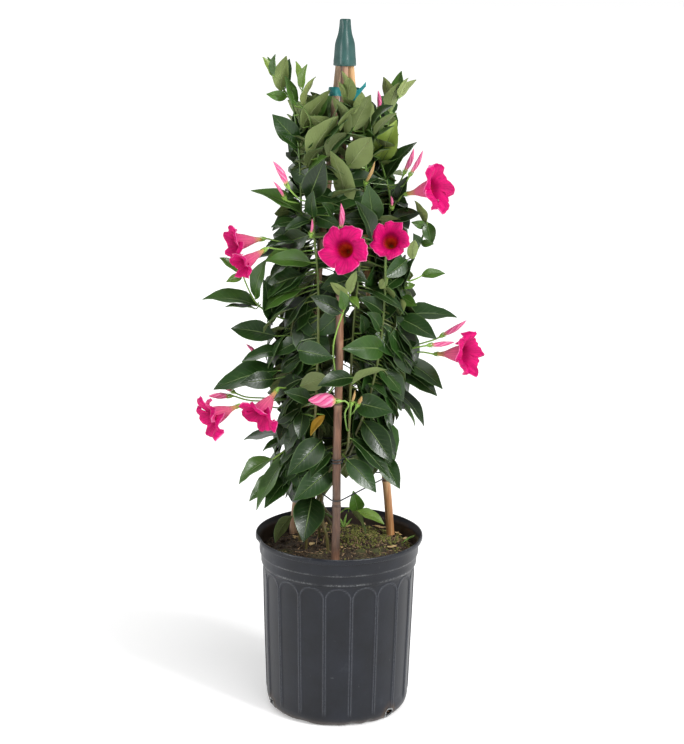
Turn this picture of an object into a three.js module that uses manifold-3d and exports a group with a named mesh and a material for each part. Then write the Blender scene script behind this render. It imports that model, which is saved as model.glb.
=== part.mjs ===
// A potted mandevilla: a climbing vine in flower, trained up a tripod of three bamboo stakes
// that stands in a fluted nursery pot. Millimetres, +Z up, the front towards -Y, and the
// origin under the middle of the pot.
import * as THREE from 'three';
import { mergeVertices } from 'three/addons/utils/BufferGeometryUtils.js';
import Module from 'manifold-3d';

const wasm = await Module();
wasm.setup();

const DEG = Math.PI / 180;
const TURN = Math.PI * 2;
const GAP = 0.3;
const MERGE = 1e-4;
const WELD = 1e-3;
const FLATNESS = [0.08, 0.06, 0.04, 0.02, 0.01];

// The pot
const POT_HEIGHT = 270;
const RIM_RADIUS = 127;
const RIM_INNER_RADIUS = 124.6;
const RIM_LIP = 7;
const COLLAR_RADIUS = 121.4;
const COLLAR_BOTTOM = 242;
const BAND_RADIUS = 118.4;
const BAND_BOTTOM = 227;
const BODY_TOP_RADIUS = 115.2;
const BODY_TOP = 223;
const BODY_BOTTOM_RADIUS = 108.4;
const BODY_BOTTOM = 17;
const CHINE_RADIUS = 106.6;
const CHINE_HEIGHT = 8;
const FOOT_RADIUS = 97;
const WALL = 2.4;
const FLOOR = 3;
const FLUTES = 18;
const FLUTE_DEPTH = 1.1;
const FLUTE_BOTTOM_WIDTH = 33;
const FLUTE_TOP_WIDTH = 35.4;
const FLUTE_SPRING = 204;
const FLUTE_CROWN = 220.5;
const POT_SIDES = 36;
const DRAIN_RADIUS = 4.6;
const DRAIN_ANGLES = [-43, -157, 78];

// The soil
const SOIL_EDGE = 242.5;
const SOIL_MIDDLE = 248;
const SOIL_CLEARANCE = 0.5;
const SOIL_LUMP = 1.6;
const SOIL_SIDES = 18;

// The stakes and what holds them
const STAKE_RADIUS = 6.1;
const STAKE_TOP_RADIUS = 5.3;
const STAKE_NODE_SWELL = 0.8;
const STAKE_NODE_HEIGHTS = [0.17, 0.36, 0.56, 0.77];
const STAKE_BOTTOM = 206;
const STAKE_TOP = 986;
const STAKE_TOP_SPREAD = 6.5;
const STAKE_FEET = {
  stake_front: [-5, -92],
  stake_right: [80, 57],
  stake_left: [-71, 64],
};
const STAKE_TOP_ANGLES = { stake_front: -90, stake_right: 30, stake_left: 150 };
const CAP_BOTTOM = 963;
const CAP_TOP = 1028;
const CAP_BOTTOM_RADIUS = 17.2;
const CAP_TOP_RADIUS = 8;
const CAP_LOBE = 0.06;
const TIE_HEIGHT = 926;
const TIE_WIDTH = 9;
const TIE_THICKNESS = 0.8;
const TIE_SLACK = 2.2;
const TIE_PARTS = 14;
const TIE_START = -80;
const TIE_LAP = 1.6;
const TIE_TAIL = [[354, 95, -25], [360, 88, -24], [365, 83, -24]];
const HOOP_HEIGHTS = { wire_hoop_low: 347, wire_hoop_high: 401 };
const HOOP_BEND = 40;
const HOOP_SLACK = 1.5;
const WIRE_RADIUS = 1;

// The plant
const STEM_RADIUS = 2.2;
const SHOOT_RADIUS = 1.5;
const STALK_RADIUS = 1.2;
const STALK_SIDES = 4;
const STEM_SIDES = 5;
const STEM_ROOT = 214;
const STEM_HOLE_RADIUS = 3.2;
const STEM_STEP = 42;
const STALK_STEP = 28;
const RUN_PARTS = 9;
const BLADE_THICKNESS = 1.5;
const LEAF_STALK_HALF = 1;
const SHORT_STALK = 22;
const STALK_ROOM = 2.5;
const STRAIGHT = 0.5;
const LEAF_PROPORTION = 0.5;
const LEAF_CLEARANCE = 0.5;
const LONG_LEAF = 62;
const SHORT_LEAF = 47;
const LONG_BLADE_STATIONS = [0.1, 0.3, 0.56, 0.8];
const MIDDLE_BLADE_STATIONS = [0.14, 0.42, 0.74];
const SHORT_BLADE_STATIONS = [0.24, 0.6];
const BLADE_FULLNESS = 1.07;
const FOLD_LEAST = 0.1;
const FOLD_MORE = 0.22;
const ARCH_LEAST = 0.05;
const ARCH_MORE = 0.08;
const LEAN_SHARE = 0.18;
const LEAN_RISE = 24;

// The front view from which the plant's habit is laid out: a place is given by its column and
// row in that view, in picture units, and by its depth in millimetres, positive to the back.
const VIEW = {
  focal: 1600,
  column: 342,
  row: 372,
  eye: [1.6, -2303, 1050],
  pitch: 13 * DEG,
  roll: 0.72 * DEG,
};

function seen(column, row, depth) {
  const u = column - VIEW.column;
  const v = row - VIEW.row;
  const across = u * Math.cos(VIEW.roll) + v * Math.sin(VIEW.roll);
  const down = v * Math.cos(VIEW.roll) - u * Math.sin(VIEW.roll);
  const forward = VIEW.focal * Math.cos(VIEW.pitch) - down * Math.sin(VIEW.pitch);
  const drop = VIEW.focal * Math.sin(VIEW.pitch) + down * Math.cos(VIEW.pitch);
  const reach = (depth - VIEW.eye[1]) / forward;
  return new THREE.Vector3(VIEW.eye[0] + across * reach, depth, VIEW.eye[2] - drop * reach);
}

function pictured(point) {
  const reach = point.y - VIEW.eye[1];
  const rise = point.z - VIEW.eye[2];
  const away = reach * Math.cos(VIEW.pitch) - rise * Math.sin(VIEW.pitch);
  const across = (VIEW.focal * (point.x - VIEW.eye[0])) / away;
  const down = (-VIEW.focal * (reach * Math.sin(VIEW.pitch) + rise * Math.cos(VIEW.pitch))) / away;
  return [
    VIEW.column + across * Math.cos(VIEW.roll) - down * Math.sin(VIEW.roll),
    VIEW.row + down * Math.cos(VIEW.roll) + across * Math.sin(VIEW.roll),
  ];
}

// The main stems, from the soil to the tip, each as the place of its root in the soil, the
// spacing of its leaf pairs, and its course in the front view: column, row, depth.
const STEMS = {
  vine_left: {
    root: [-60, 26],
    spacing: 62,
    course: [[298, 506, 24], [291, 480, 12], [290, 450, 0], [292, 400, -10], [290, 350, -15], [296, 300, -20], [300, 250, -25],
      [301, 200, -20], [299, 150, -15], [293, 107, -10], [284, 90, -8], [273, 75, -5]],
  },
  vine_left_front: {
    root: [-49, -14],
    spacing: 62,
    course: [[308, 500, -16], [313, 450, -40], [316, 400, -55], [318, 340, -55], [318, 280, -50], [314, 225, -45],
      [318, 170, -40], [316, 125, -30], [311, 103, -25]],
  },
  vine_left_back: {
    root: [-30, 36],
    spacing: 62,
    course: [[314, 500, 40], [318, 440, 45], [322, 380, 50], [320, 300, 50], [318, 230, 46], [322, 160, 40],
      [326, 112, 32]],
  },
  vine_front: {
    root: [-16, -27],
    spacing: 62,
    course: [[320, 505, -27], [330, 470, -58], [346, 452, -62], [349, 430, -66], [350, 400, -62], [352, 350, -50],
      [356, 300, -46], [361, 250, -42], [364, 200, -40], [366, 155, -35], [361, 112, -25]],
  },
  vine_right: {
    root: [-4, 14],
    spacing: 62,
    course: [[321, 500, 12], [345, 462, 12], [368, 412, 6], [384, 362, 0], [394, 320, -5], [399, 298, -5],
      [404, 280, -5], [411, 262, -5], [419, 246, -3], [424, 233, 0], [427, 222, 0]],
  },
  vine_right_back: {
    root: [-2, 46],
    spacing: 62,
    course: [[322, 498, 43], [345, 450, 44], [362, 400, 47], [372, 340, 50], [377, 280, 45], [379, 220, 40],
      [384, 160, 30], [389, 118, 20], [398, 98, 15]],
  },
  vine_back: {
    root: [-24, 60],
    spacing: 62,
    course: [[318, 498, 62], [330, 440, 72], [340, 380, 76], [344, 300, 72], [346, 230, 65], [348, 165, 50],
      [350, 124, 40]],
  },
  vine_right_front: {
    root: [-17, -5],
    spacing: 62,
    course: [[316, 503, -4], [340, 462, -26], [362, 420, -45], [376, 370, -50], [384, 310, -45], [386, 250, -38],
      [390, 200, -25], [382, 165, -16], [376, 140, -10]],
  },
};

// The side shoots, each from the nearest place on its main stem, as courses in the front view.
const SHOOTS = [
  { vine: 'vine_left', course: [[303, 112, -20], [302, 90, -18]] },
  { vine: 'vine_left', course: [[281, 318, -18], [268, 312, -15], [256, 303, -12], [247, 286, -10], [241, 270, -8]] },
  { vine: 'vine_left', course: [[284, 451, -16], [273, 459, -22]] },
  { vine: 'vine_right', course: [[334, 517, -2], [347, 508, -6], [356, 510, -7]] },
  { vine: 'vine_left_front', course: [[326, 396, -62], [335, 380, -68], [333, 350, -74], [337, 330, -76],
    [343, 313, -77], [349, 294, -78]] },
  { vine: 'vine_front', course: [[345, 112, -34], [345, 95, -30]] },
  { vine: 'vine_right', course: [[410, 281, -8], [420, 277, -8]] },
];

// The flower stalks, each from the nearest place on its main stem to the flower that it carries.
// A flower gives the place of its tube's foot and the middle of its mouth, its radius, how wide
// its lobes open from its axis, in degrees, and how its lobes are turned about it.
const FLOWERS = [
  { name: 'flower_centre', vine: 'vine_front', foot: [349, 252, -56], mouth: [344, 249, -98], radius: 41,
    open: 78, turn: 20 },
  { name: 'flower_right_centre', vine: 'vine_right_front', foot: [392, 247, -52], mouth: [390, 241, -84],
    radius: 32, open: 60, turn: 50 },
  { name: 'flower_top_right', vine: 'vine_right_front', foot: [407, 194, -36], mouth: [434, 188, -60],
    radius: 43, open: 70, turn: 10 },
  { name: 'flower_left_upper', vine: 'vine_left', foot: [262, 239, -32], mouth: [238, 242, -48], radius: 30,
    open: 58, turn: 30 },
  { name: 'flower_left_lower', vine: 'vine_left', foot: [264, 250, -62], mouth: [246, 262, -82], radius: 24,
    open: 50, turn: 0 },
  { name: 'flower_low_left', vine: 'vine_left', foot: [238, 406, -30], mouth: [214, 416, -50], radius: 42,
    open: 66, turn: 40 },
  { name: 'flower_low_left_inner', vine: 'vine_left', foot: [276, 391, -50], mouth: [261, 412, -74], radius: 37,
    open: 60, turn: 15 },
  { name: 'flower_low_right', vine: 'vine_right', foot: [437, 354, -26], mouth: [464, 354, -50], radius: 39,
    open: 64, turn: 60 },
];

const FLOWER_STALKS = {
  flower_centre: [[354, 256, -50]],
  flower_right_centre: [],
  flower_top_right: [[395, 204, -30]],
  flower_left_upper: [[282, 242, -30]],
  flower_left_lower: [[286, 250, -44]],
  flower_low_left: [[280, 408, -16], [258, 405, -24]],
  flower_low_left_inner: [[286, 388, -36]],
  flower_low_right: [[400, 354, -14], [420, 352, -22]],
};

// The buds: foot and tip in the front view, and the greatest width in millimetres.
const BUDS = [
  { name: 'bud_left_top', vine: 'vine_left_front', by: [[301, 200, -52]], foot: [287, 185, -58],
    tip: [273, 161, -62], width: 10 },
  { name: 'bud_left_top_small', vine: 'vine_left', by: [[297, 203, -30]], foot: [284, 197, -34],
    tip: [273, 181, -36], width: 5 },
  { name: 'bud_right_top_a', vine: 'vine_right_front', by: [[398, 184, -22]], foot: [405, 171, -24],
    tip: [414, 148, -30], width: 8 },
  { name: 'bud_right_top_b', vine: 'vine_right_front', by: [[403, 186, -30]], foot: [411, 173, -36],
    tip: [423, 150, -42], width: 7 },
  { name: 'bud_crown', vine: 'vine_right_back', by: [[383, 124, 12]], foot: [379, 109, 6], tip: [378, 90, 2],
    width: 7 },
  { name: 'bud_amber', vine: 'vine_front', by: [], foot: [366, 182, -52], tip: [375, 161, -62], width: 5 },
  { name: 'bud_over_flower', vine: 'vine_left_front', by: [[332, 236, -62]], foot: [341, 228, -72],
    tip: [341, 203, -78], width: 8 },
  { name: 'bud_slender', vine: 'vine_left_front', by: [], foot: [311, 233, -62], tip: [312, 219, -70], width: 4 },
  { name: 'bud_behind_flower', vine: 'vine_right_front', by: [], foot: [392, 206, -42], tip: [391, 196, -50],
    width: 4 },
  { name: 'bud_low_right_a', vine: 'vine_right', by: [[402, 348, -4], [430, 341, -8]], foot: [443, 335, -10],
    tip: [467, 320, -14], width: 9 },
  { name: 'bud_low_right_b', vine: 'vine_right', by: [[402, 349, -26], [418, 347, -40]], foot: [431, 345, -46],
    tip: [455, 342, -50], width: 8 },
  { name: 'bud_low_left_a', vine: 'vine_left', by: [[262, 398, -2], [246, 397, 2]], foot: [232, 391, 2],
    tip: [220, 384, 0], width: 8 },
  { name: 'bud_low_left_b', vine: 'vine_left', by: [[264, 401, -14], [247, 400, -12]], foot: [229, 396, -12],
    tip: [208, 396, -14], width: 10 },
  { name: 'bud_left_small', vine: 'vine_left', by: [[270, 356, 8]], foot: [256, 354, 12], tip: [246, 344, 12],
    width: 6 },
  { name: 'bud_middle', vine: 'vine_front', by: [[347, 430, -76], [345, 413, -82], [349, 405, -84],
    [345, 401, -85]], foot: [337, 401, -86], tip: [308, 400, -90], width: 22 },
  { name: 'bud_middle_small_a', vine: 'vine_front', by: [[350, 418, -74]], foot: [352, 402, -80],
    tip: [355, 390, -82], width: 4 },
  { name: 'bud_middle_small_b', vine: 'vine_front', by: [[352, 414, -68]], foot: [358, 404, -74],
    tip: [362, 396, -76], width: 6 },
];

// The leaves that the front view shows, from its top down: base (column, row, depth), tip
// (column, row, depth), width across the blade as it is seen, and 'under' where the leaf turns
// its paler underside to the front.
const LEAVES = [
  [281, 92, -12, 287, 56, -24, 16, 'under'],
  [284, 90, -6, 290, 59, 6, 11],
  [272, 76, -6, 262, 57, -8, 7],
  [273, 75, -4, 267, 57, 4, 6],
  [274, 76, -8, 276, 54, -14, 7],
  [287, 97, -12, 266, 94, -20, 11],
  [300, 88, -18, 295, 61, -22, 8],
  [303, 89, -18, 308, 64, -24, 8],
  [304, 107, -22, 317, 77, -34, 11, 'under'],
  [295, 106, -14, 284, 76, -4, 10],
  [302, 128, -24, 331, 91, -44, 15, 'under'],
  [314, 122, -26, 328, 94, -12, 14],
  [310, 160, -36, 339, 117, -64, 22, 'under'],
  [298, 142, -18, 272, 114, -26, 22],
  [298, 148, -20, 277, 133, -38, 10],
  [347, 105, -32, 350, 78, -52, 16, 'under'],
  [345, 92, -30, 341, 71, -28, 6, 'under'],
  [344, 96, -30, 338, 82, -36, 5, 'under'],
  [345, 137, -44, 331, 97, -60, 14, 'under'],
  [353, 131, -44, 371, 95, -56, 20, 'under'],
  [366, 158, -34, 370, 104, -22, 16],
  [348, 168, -48, 371, 138, -84, 28, 'under'],
  [356, 140, -30, 368, 118, -16, 14],
  [389, 104, 16, 383, 77, 10, 12, 'under'],
  [396, 99, 18, 402, 71, 26, 12],
  [390, 113, 14, 400, 83, -4, 13, 'under'],
  [399, 97, 13, 409, 78, 6, 8, 'under'],
  [400, 98, 16, 417, 80, 20, 8, 'under'],
  [379, 160, -10, 397, 119, -32, 25],
  [385, 181, -20, 418, 143, -8, 13],
  [398, 201, -26, 408, 176, -30, 12],
  [374, 222, -42, 368, 183, -72, 24],
  [391, 221, -38, 420, 214, -20, 14],
  [372, 240, -46, 354, 201, -66, 15],
  [425, 224, 0, 414, 201, -6, 8, 'under'],
  [425, 226, -1, 411, 222, -12, 9],
  [427, 222, 1, 432, 245, -4, 14],
  [421, 243, -2, 434, 244, -12, 8],
  [420, 244, -4, 413, 233, -18, 10],
  [413, 260, -6, 415, 240, -24, 9, 'under'],
  [404, 290, -8, 416, 258, -22, 10],
  [421, 276, -8, 445, 274, -2, 10],
  [403, 288, -4, 415, 285, 8, 7],
  [302, 214, -24, 250, 192, -14, 14],
  [309, 198, -42, 325, 158, -68, 26],
  [313, 217, -46, 314, 190, -68, 13],
  [332, 216, -58, 321, 203, -84, 10],
  [346, 208, -42, 329, 151, -60, 13, 'under'],
  [298, 222, -26, 271, 228, -32, 9],
  [310, 220, -46, 285, 231, -66, 10],
  [257, 306, -12, 202, 301, -6, 15],
  [256, 299, -12, 268, 259, -34, 15],
  [256, 309, -13, 225, 308, -38, 9],
  [273, 322, -20, 262, 279, -42, 19],
  [275, 336, -16, 231, 329, 0, 22],
  [300, 254, -26, 254, 260, -20, 10],
  [311, 263, -50, 266, 262, -56, 18],
  [241, 272, -8, 219, 258, -12, 10],
  [242, 276, -9, 226, 282, -22, 9],
  [242, 276, -9, 236, 252, -14, 9, 'under'],
  [347, 299, -79, 330, 283, -92, 10, 'under'],
  [350, 294, -80, 357, 271, -86, 10, 'under'],
  [345, 309, -79, 340, 290, -100, 12],
  [349, 297, -80, 359, 309, -98, 9],
  [342, 313, -79, 310, 296, -86, 18],
  [402, 297, -8, 417, 306, -26, 12],
  [400, 317, -6, 457, 319, 8, 16],
  [399, 318, -8, 437, 340, -36, 21],
  [397, 322, -4, 420, 336, -8, 9],
  [385, 349, -4, 418, 343, -34, 27],
  [403, 361, -6, 442, 390, -14, 18],
  [398, 369, -4, 437, 397, -32, 21],
  [394, 390, 2, 423, 427, -10, 12],
  [388, 397, 6, 414, 427, 12, 6],
  [352, 384, -62, 388, 371, -68, 8, 'under'],
  [368, 384, -48, 387, 398, -68, 7],
  [355, 402, -50, 394, 412, -76, 25],
  [364, 333, -50, 360, 314, -74, 11],
  [384, 349, -50, 341, 349, -92, 26],
  [392, 300, -38, 387, 287, -54, 7, 'under'],
  [400, 299, -10, 401, 314, -32, 7, 'under'],
  [388, 279, -38, 380, 288, -60, 9, 'under'],
  [382, 312, -48, 358, 298, -76, 16],
  [380, 330, -52, 366, 312, -84, 13],
  [299, 350, -58, 334, 358, -88, 25],
  [300, 386, -50, 326, 377, -80, 20, 'under'],
  [353, 378, -66, 317, 387, -94, 14],
  [311, 400, -54, 283, 392, -76, 16],
  [282, 352, -14, 242, 363, -10, 13],
  [278, 371, -12, 214, 391, -4, 16],
  [274, 379, -14, 239, 384, -40, 19],
  [290, 441, -8, 263, 452, -8, 8],
  [288, 432, -6, 244, 441, 6, 11],
  [272, 459, -24, 240, 485, -16, 14],
  [287, 456, -12, 258, 511, -22, 14],
  [292, 474, -10, 265, 509, -40, 18],
  [280, 474, 2, 250, 502, 0, 9],
  [322, 440, -48, 287, 476, -86, 28],
  [303, 414, -46, 299, 440, -74, 17],
  [331, 452, -52, 311, 479, -80, 15],
  [332, 468, -50, 293, 501, -82, 27],
  [312, 497, -30, 303, 543, -84, 33],
  [292, 516, -6, 276, 543, -40, 12, 'under'],
  [325, 415, -54, 311, 436, -66, 8],
  [363, 421, -48, 392, 463, -70, 25],
  [352, 439, -64, 389, 480, -88, 23],
  [382, 456, -22, 400, 489, -44, 20],
  [347, 460, -60, 376, 493, -78, 23],
  [346, 463, -66, 366, 489, -90, 8],
  [358, 510, -8, 353, 490, -26, 16],
  [349, 508, -8, 365, 534, -28, 9, 'under'],
  [357, 511, -8, 384, 525, -16, 10],
];

// The mass of foliage behind those leaves: its left and right edge in the front view, by row,
// inside which the leaves that follow the stems' own rule must stay.
const FOLIAGE_EDGES = [
  [92, 286, 396], [120, 284, 400], [150, 288, 402], [180, 290, 404], [200, 282, 408], [215, 274, 410],
  [250, 262, 410], [275, 260, 404], [300, 262, 404], [330, 264, 412], [360, 260, 416], [380, 260, 420],
  [400, 270, 416], [420, 276, 398], [440, 278, 392], [470, 272, 396], [488, 272, 330], [504, 288, 320],
];
const FOLIAGE_BACK = 112;
const FOLIAGE_FRONT = -36;
const FIRST_PAIR_HEIGHT = 330;
const LAST_PAIR_HEIGHT = 948;
const LEAF_LENGTHS = [44, 66];
const LOW_DROOP = -55;
const CLIMB_GAIN = 120;
const PAIR_TURNS = [[62, -62], [0, 180]];
const CLIMB_RANGE = 26;
const HEADING_RANGE = 40;
const ROLL_RANGE = 50;
const HIGH_LEAF_LOSS = 0.35;
const PAIR_STALK = 6;
const PAIR_PROPORTION = 0.56;
const PAIR_FOLD_MORE = 0.2;
const PAIR_ARCH = 0.1;
const SEED = 20741;

// Small changes that a leaf may make to find its own room: a shift towards the back along the
// line of sight, in millimetres, a turn about its own length, in degrees, and a change of length.
const ROOM = [];
for (const length of [1, 0.86, 0.72]) {
  for (const shift of [0, -7, 7, -14, 14, -22, 22]) {
    for (const turn of [0, 18, -18]) {
      ROOM.push({ shift, turn, length });
    }
  }
}

// The same for a leaf of the inner mass: its heading and its roll, in degrees, and its length.
const INNER_ROOM = [];
for (const length of [1, 0.84, 0.68]) {
  for (const sweep of [0, 32, -32, 64, -64]) {
    for (const turn of [0, 20, -20]) {
      INNER_ROOM.push({ sweep, turn, length });
    }
  }
}

function seededRandom(seed) {
  let state = seed >>> 0;
  return () => {
    state = (state + 0x6d2b79f5) >>> 0;
    let mixed = Math.imul(state ^ (state >>> 15), state | 1);
    mixed ^= mixed + Math.imul(mixed ^ (mixed >>> 7), mixed | 61);
    return ((mixed ^ (mixed >>> 14)) >>> 0) / 4294967296;
  };
}

// Geometry helpers

function solidFrom(geometry) {
  const bare = geometry.index ? geometry.toNonIndexed() : geometry.clone();
  bare.deleteAttribute('normal');
  bare.deleteAttribute('uv');
  return solidOfWelded(mergeVertices(bare, MERGE));
}

function solidOfWelded(merged) {
  return new wasm.Manifold(new wasm.Mesh({
    numProp: 3,
    vertProperties: merged.attributes.position.array,
    triVerts: new Uint32Array(merged.index.array),
  }));
}

// Leaves out the faces of no size that welding leaves behind.
function dropEmptyFaces(geometry) {
  const { array } = geometry.index;
  const kept = [];
  for (let i = 0; i < array.length; i += 3) {
    const [a, b, c] = array.slice(i, i + 3);
    if (a !== b && b !== c && c !== a) kept.push(a, b, c);
  }
  geometry.setIndex(kept);
}

// Whether every edge is shared by just two faces.
function edgesAreShared(geometry) {
  const { array } = geometry.index;
  const uses = new Map();
  for (let i = 0; i < array.length; i += 1) {
    const next = i % 3 === 2 ? i - 2 : i + 1;
    const edge = [Math.min(array[i], array[next]), Math.max(array[i], array[next])].join();
    uses.set(edge, (uses.get(edge) ?? 0) + 1);
  }
  return [...uses.values()].every((count) => count === 2);
}

// The skin of a joined or cut solid, with the faces that lie in one plane joined again as far
// as that leaves one closed body.
function geometryFrom(solid) {
  for (const flatness of FLATNESS) {
    const flat = solid.asOriginal().simplify(flatness).getMesh();
    const loose = new THREE.BufferGeometry();
    loose.setAttribute('position', new THREE.BufferAttribute(flat.vertProperties, 3));
    loose.setIndex(new THREE.BufferAttribute(flat.triVerts, 1));
    const geometry = mergeVertices(loose, WELD);
    dropEmptyFaces(geometry);
    if (!edgesAreShared(geometry) || solidOfWelded(geometry).decompose().length !== 1) continue;
    geometry.computeVertexNormals();
    return geometry;
  }
  throw new Error('a joined solid has no skin that is one closed body');
}

// A closed skin over rings of points, from a cap or a point to a cap or a point. A quarter of a
// band of faces is cut along its other diagonal where flipped says so, given the band and the
// quarter, so that the two faces of a thin skin are cut alike.
function loft(rings, flipped = () => false) {
  const positions = [];
  const faces = [];
  const starts = [];
  for (const ring of rings) {
    starts.push(positions.length / 3);
    for (const point of ring) positions.push(point.x, point.y, point.z);
  }
  for (let i = 0; i + 1 < rings.length; i += 1) {
    const a = starts[i];
    const b = starts[i + 1];
    const sides = Math.max(rings[i].length, rings[i + 1].length);
    for (let k = 0; k < sides; k += 1) {
      const next = (k + 1) % sides;
      if (rings[i + 1].length === 1) faces.push(a + k, a + next, b);
      else if (rings[i].length === 1) faces.push(a, b + next, b + k);
      else if (flipped(i, k)) faces.push(a + k, a + next, b + k, a + next, b + next, b + k);
      else faces.push(a + k, a + next, b + next, a + k, b + next, b + k);
    }
  }
  const closeRing = (start, ring, turned) => {
    for (let k = 1; k + 1 < ring.length; k += 1) {
      faces.push(start, turned ? start + k : start + k + 1, turned ? start + k + 1 : start + k);
    }
  };
  closeRing(starts[0], rings[0], false);
  closeRing(starts[rings.length - 1], rings[rings.length - 1], true);
  const geometry = new THREE.BufferGeometry();
  geometry.setAttribute('position', new THREE.Float32BufferAttribute(positions, 3));
  geometry.setIndex(faces);
  if (signedVolume(positions, faces) < 0) {
    for (let i = 0; i < faces.length; i += 3) {
      const kept = faces[i + 1];
      faces[i + 1] = faces[i + 2];
      faces[i + 2] = kept;
    }
    geometry.setIndex(faces);
  }
  geometry.computeVertexNormals();
  return geometry;
}

function signedVolume(positions, faces) {
  const corner = (index) => new THREE.Vector3(...positions.slice(index * 3, index * 3 + 3));
  let volume = 0;
  for (let i = 0; i < faces.length; i += 3) {
    volume += corner(faces[i]).dot(corner(faces[i + 1]).cross(corner(faces[i + 2]))) / 6;
  }
  return volume;
}

function polygonShape(radius, sides) {
  const points = [];
  for (let k = 0; k < sides; k += 1) {
    const angle = (k / sides) * TURN;
    points.push(new THREE.Vector2(radius * Math.cos(angle), radius * Math.sin(angle)));
  }
  return new THREE.Shape(points);
}

function curveThrough(points) {
  return new THREE.CatmullRomCurve3(points, false, 'catmullrom', 0.5);
}

function stepsAlong(points, step) {
  return Math.max(1, Math.ceil(curveThrough(points).getLength() / step));
}

function tube(points, radius, sides, step) {
  return new THREE.ExtrudeGeometry(polygonShape(radius, sides), {
    steps: stepsAlong(points, step),
    bevelEnabled: false,
    extrudePath: curveThrough(points),
  });
}

// A section of sideways and upward places, carried level along a path of straight runs.
function sweep(points, section) {
  const rings = points.map((point, index) => {
    const before = points[Math.max(0, index - 1)];
    const after = points[Math.min(points.length - 1, index + 1)];
    const side = after.clone().sub(before).setZ(0).normalize();
    side.set(side.y, -side.x, 0);
    return section.map(([out, rise]) => point.clone().addScaledVector(side, out).setZ(point.z + rise));
  });
  return loft(rings);
}

function lathe(profile, sides) {
  return new THREE.LatheGeometry(profile.map(([radius, height]) => new THREE.Vector2(radius, height)), sides);
}

function standing(profile, sides) {
  return lathe(profile, sides).rotateX(Math.PI / 2);
}

function finish(color, roughness, metalness = 0) {
  return new THREE.MeshStandardMaterial({ color, roughness, metalness });
}

const group = new THREE.Group();
const made = [];

// Adds a mesh and keeps its solid in place, so that later pieces can be kept clear of it.
function add(name, geometry, material, from = null, to = null) {
  const mesh = new THREE.Mesh(geometry, material);
  mesh.name = name;
  if (from) {
    mesh.position.copy(from);
    mesh.quaternion.setFromUnitVectors(new THREE.Vector3(0, 1, 0), to.clone().sub(from).normalize());
  }
  mesh.updateMatrix();
  group.add(mesh);
  const solid = solidFrom(geometry.clone().applyMatrix4(mesh.matrix));
  keepClear(name, solid);
  return mesh;
}

function keepClear(owner, solid, leaf = false) {
  made.push({ owner, solid, box: solid.boundingBox(), leaf });
}

function boxesMeet(a, b) {
  for (let axis = 0; axis < 3; axis += 1) {
    if (a.min[axis] > b.max[axis] || b.min[axis] > a.max[axis]) return false;
  }
  return true;
}

// The pot

function potProfile() {
  const inner = (radius) => radius - WALL;
  return [
    [0, 0],
    [FOOT_RADIUS, 0],
    [CHINE_RADIUS, CHINE_HEIGHT],
    [BODY_BOTTOM_RADIUS, BODY_BOTTOM],
    [BODY_TOP_RADIUS, BODY_TOP],
    [BAND_RADIUS, BAND_BOTTOM],
    [BAND_RADIUS + 0.3, COLLAR_BOTTOM - 2],
    [COLLAR_RADIUS - 0.6, COLLAR_BOTTOM],
    [COLLAR_RADIUS, POT_HEIGHT - RIM_LIP - 2],
    [RIM_RADIUS, POT_HEIGHT - RIM_LIP],
    [RIM_RADIUS, POT_HEIGHT - 1.2],
    [RIM_RADIUS - 1.2, POT_HEIGHT],
    [RIM_INNER_RADIUS, POT_HEIGHT],
    [inner(COLLAR_RADIUS), POT_HEIGHT - RIM_LIP - 2],
    [inner(COLLAR_RADIUS - 0.6), COLLAR_BOTTOM],
    [inner(BODY_TOP_RADIUS), BODY_TOP],
    [inner(CHINE_RADIUS), CHINE_HEIGHT + 4],
    [FOOT_RADIUS, FLOOR],
    [0, FLOOR],
  ];
}

// One flute's outline, drawn flat and pushed out through the wall.
function fluteCutter(angle) {
  const bottomHalf = FLUTE_BOTTOM_WIDTH / 2;
  const topHalf = FLUTE_TOP_WIDTH / 2;
  const outline = new THREE.Shape();
  outline.moveTo(-bottomHalf, BODY_BOTTOM + 1);
  outline.lineTo(bottomHalf, BODY_BOTTOM + 1);
  outline.lineTo(topHalf, FLUTE_SPRING);
  outline.absellipse(0, FLUTE_SPRING, topHalf, FLUTE_CROWN - FLUTE_SPRING, 0, Math.PI, false);
  const cutter = new THREE.ExtrudeGeometry(outline, { depth: 30, bevelEnabled: false, curveSegments: 3 });
  cutter.rotateX(Math.PI / 2);
  cutter.translate(0, -95, 0);
  cutter.rotateZ(angle + Math.PI / 2);
  return solidFrom(cutter);
}

// The skin of the body that the flutes take away.
function fluteSleeve() {
  const skin = FLUTE_DEPTH;
  return solidFrom(standing([
    [BODY_BOTTOM_RADIUS - skin, BODY_BOTTOM],
    [BODY_BOTTOM_RADIUS + 5, BODY_BOTTOM],
    [BODY_TOP_RADIUS + 5, BODY_TOP],
    [BODY_TOP_RADIUS - skin, BODY_TOP],
    [BODY_BOTTOM_RADIUS - skin, BODY_BOTTOM],
  ], POT_SIDES));
}

function drainCutter(angle) {
  const outward = new THREE.Vector3(Math.cos(angle * DEG), Math.sin(angle * DEG), 0);
  const cutter = new THREE.CylinderGeometry(DRAIN_RADIUS, DRAIN_RADIUS, 24, 8);
  cutter.applyQuaternion(new THREE.Quaternion().setFromUnitVectors(new THREE.Vector3(0, 1, 0), outward));
  cutter.translate(outward.x * CHINE_RADIUS, outward.y * CHINE_RADIUS, CHINE_HEIGHT + 2);
  return solidFrom(cutter);
}

function buildPot() {
  const shell = solidFrom(standing(potProfile(), POT_SIDES));
  const flutes = [];
  for (let k = 0; k < FLUTES; k += 1) flutes.push(fluteCutter(((k + 0.5) / FLUTES) * TURN));
  const skin = fluteSleeve().intersect(wasm.Manifold.union(flutes));
  const drains = wasm.Manifold.union(DRAIN_ANGLES.map(drainCutter));
  add('pot', geometryFrom(shell.subtract(skin).subtract(drains)), finish(0x2c2f36, 0.55));
}

// The stakes

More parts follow.
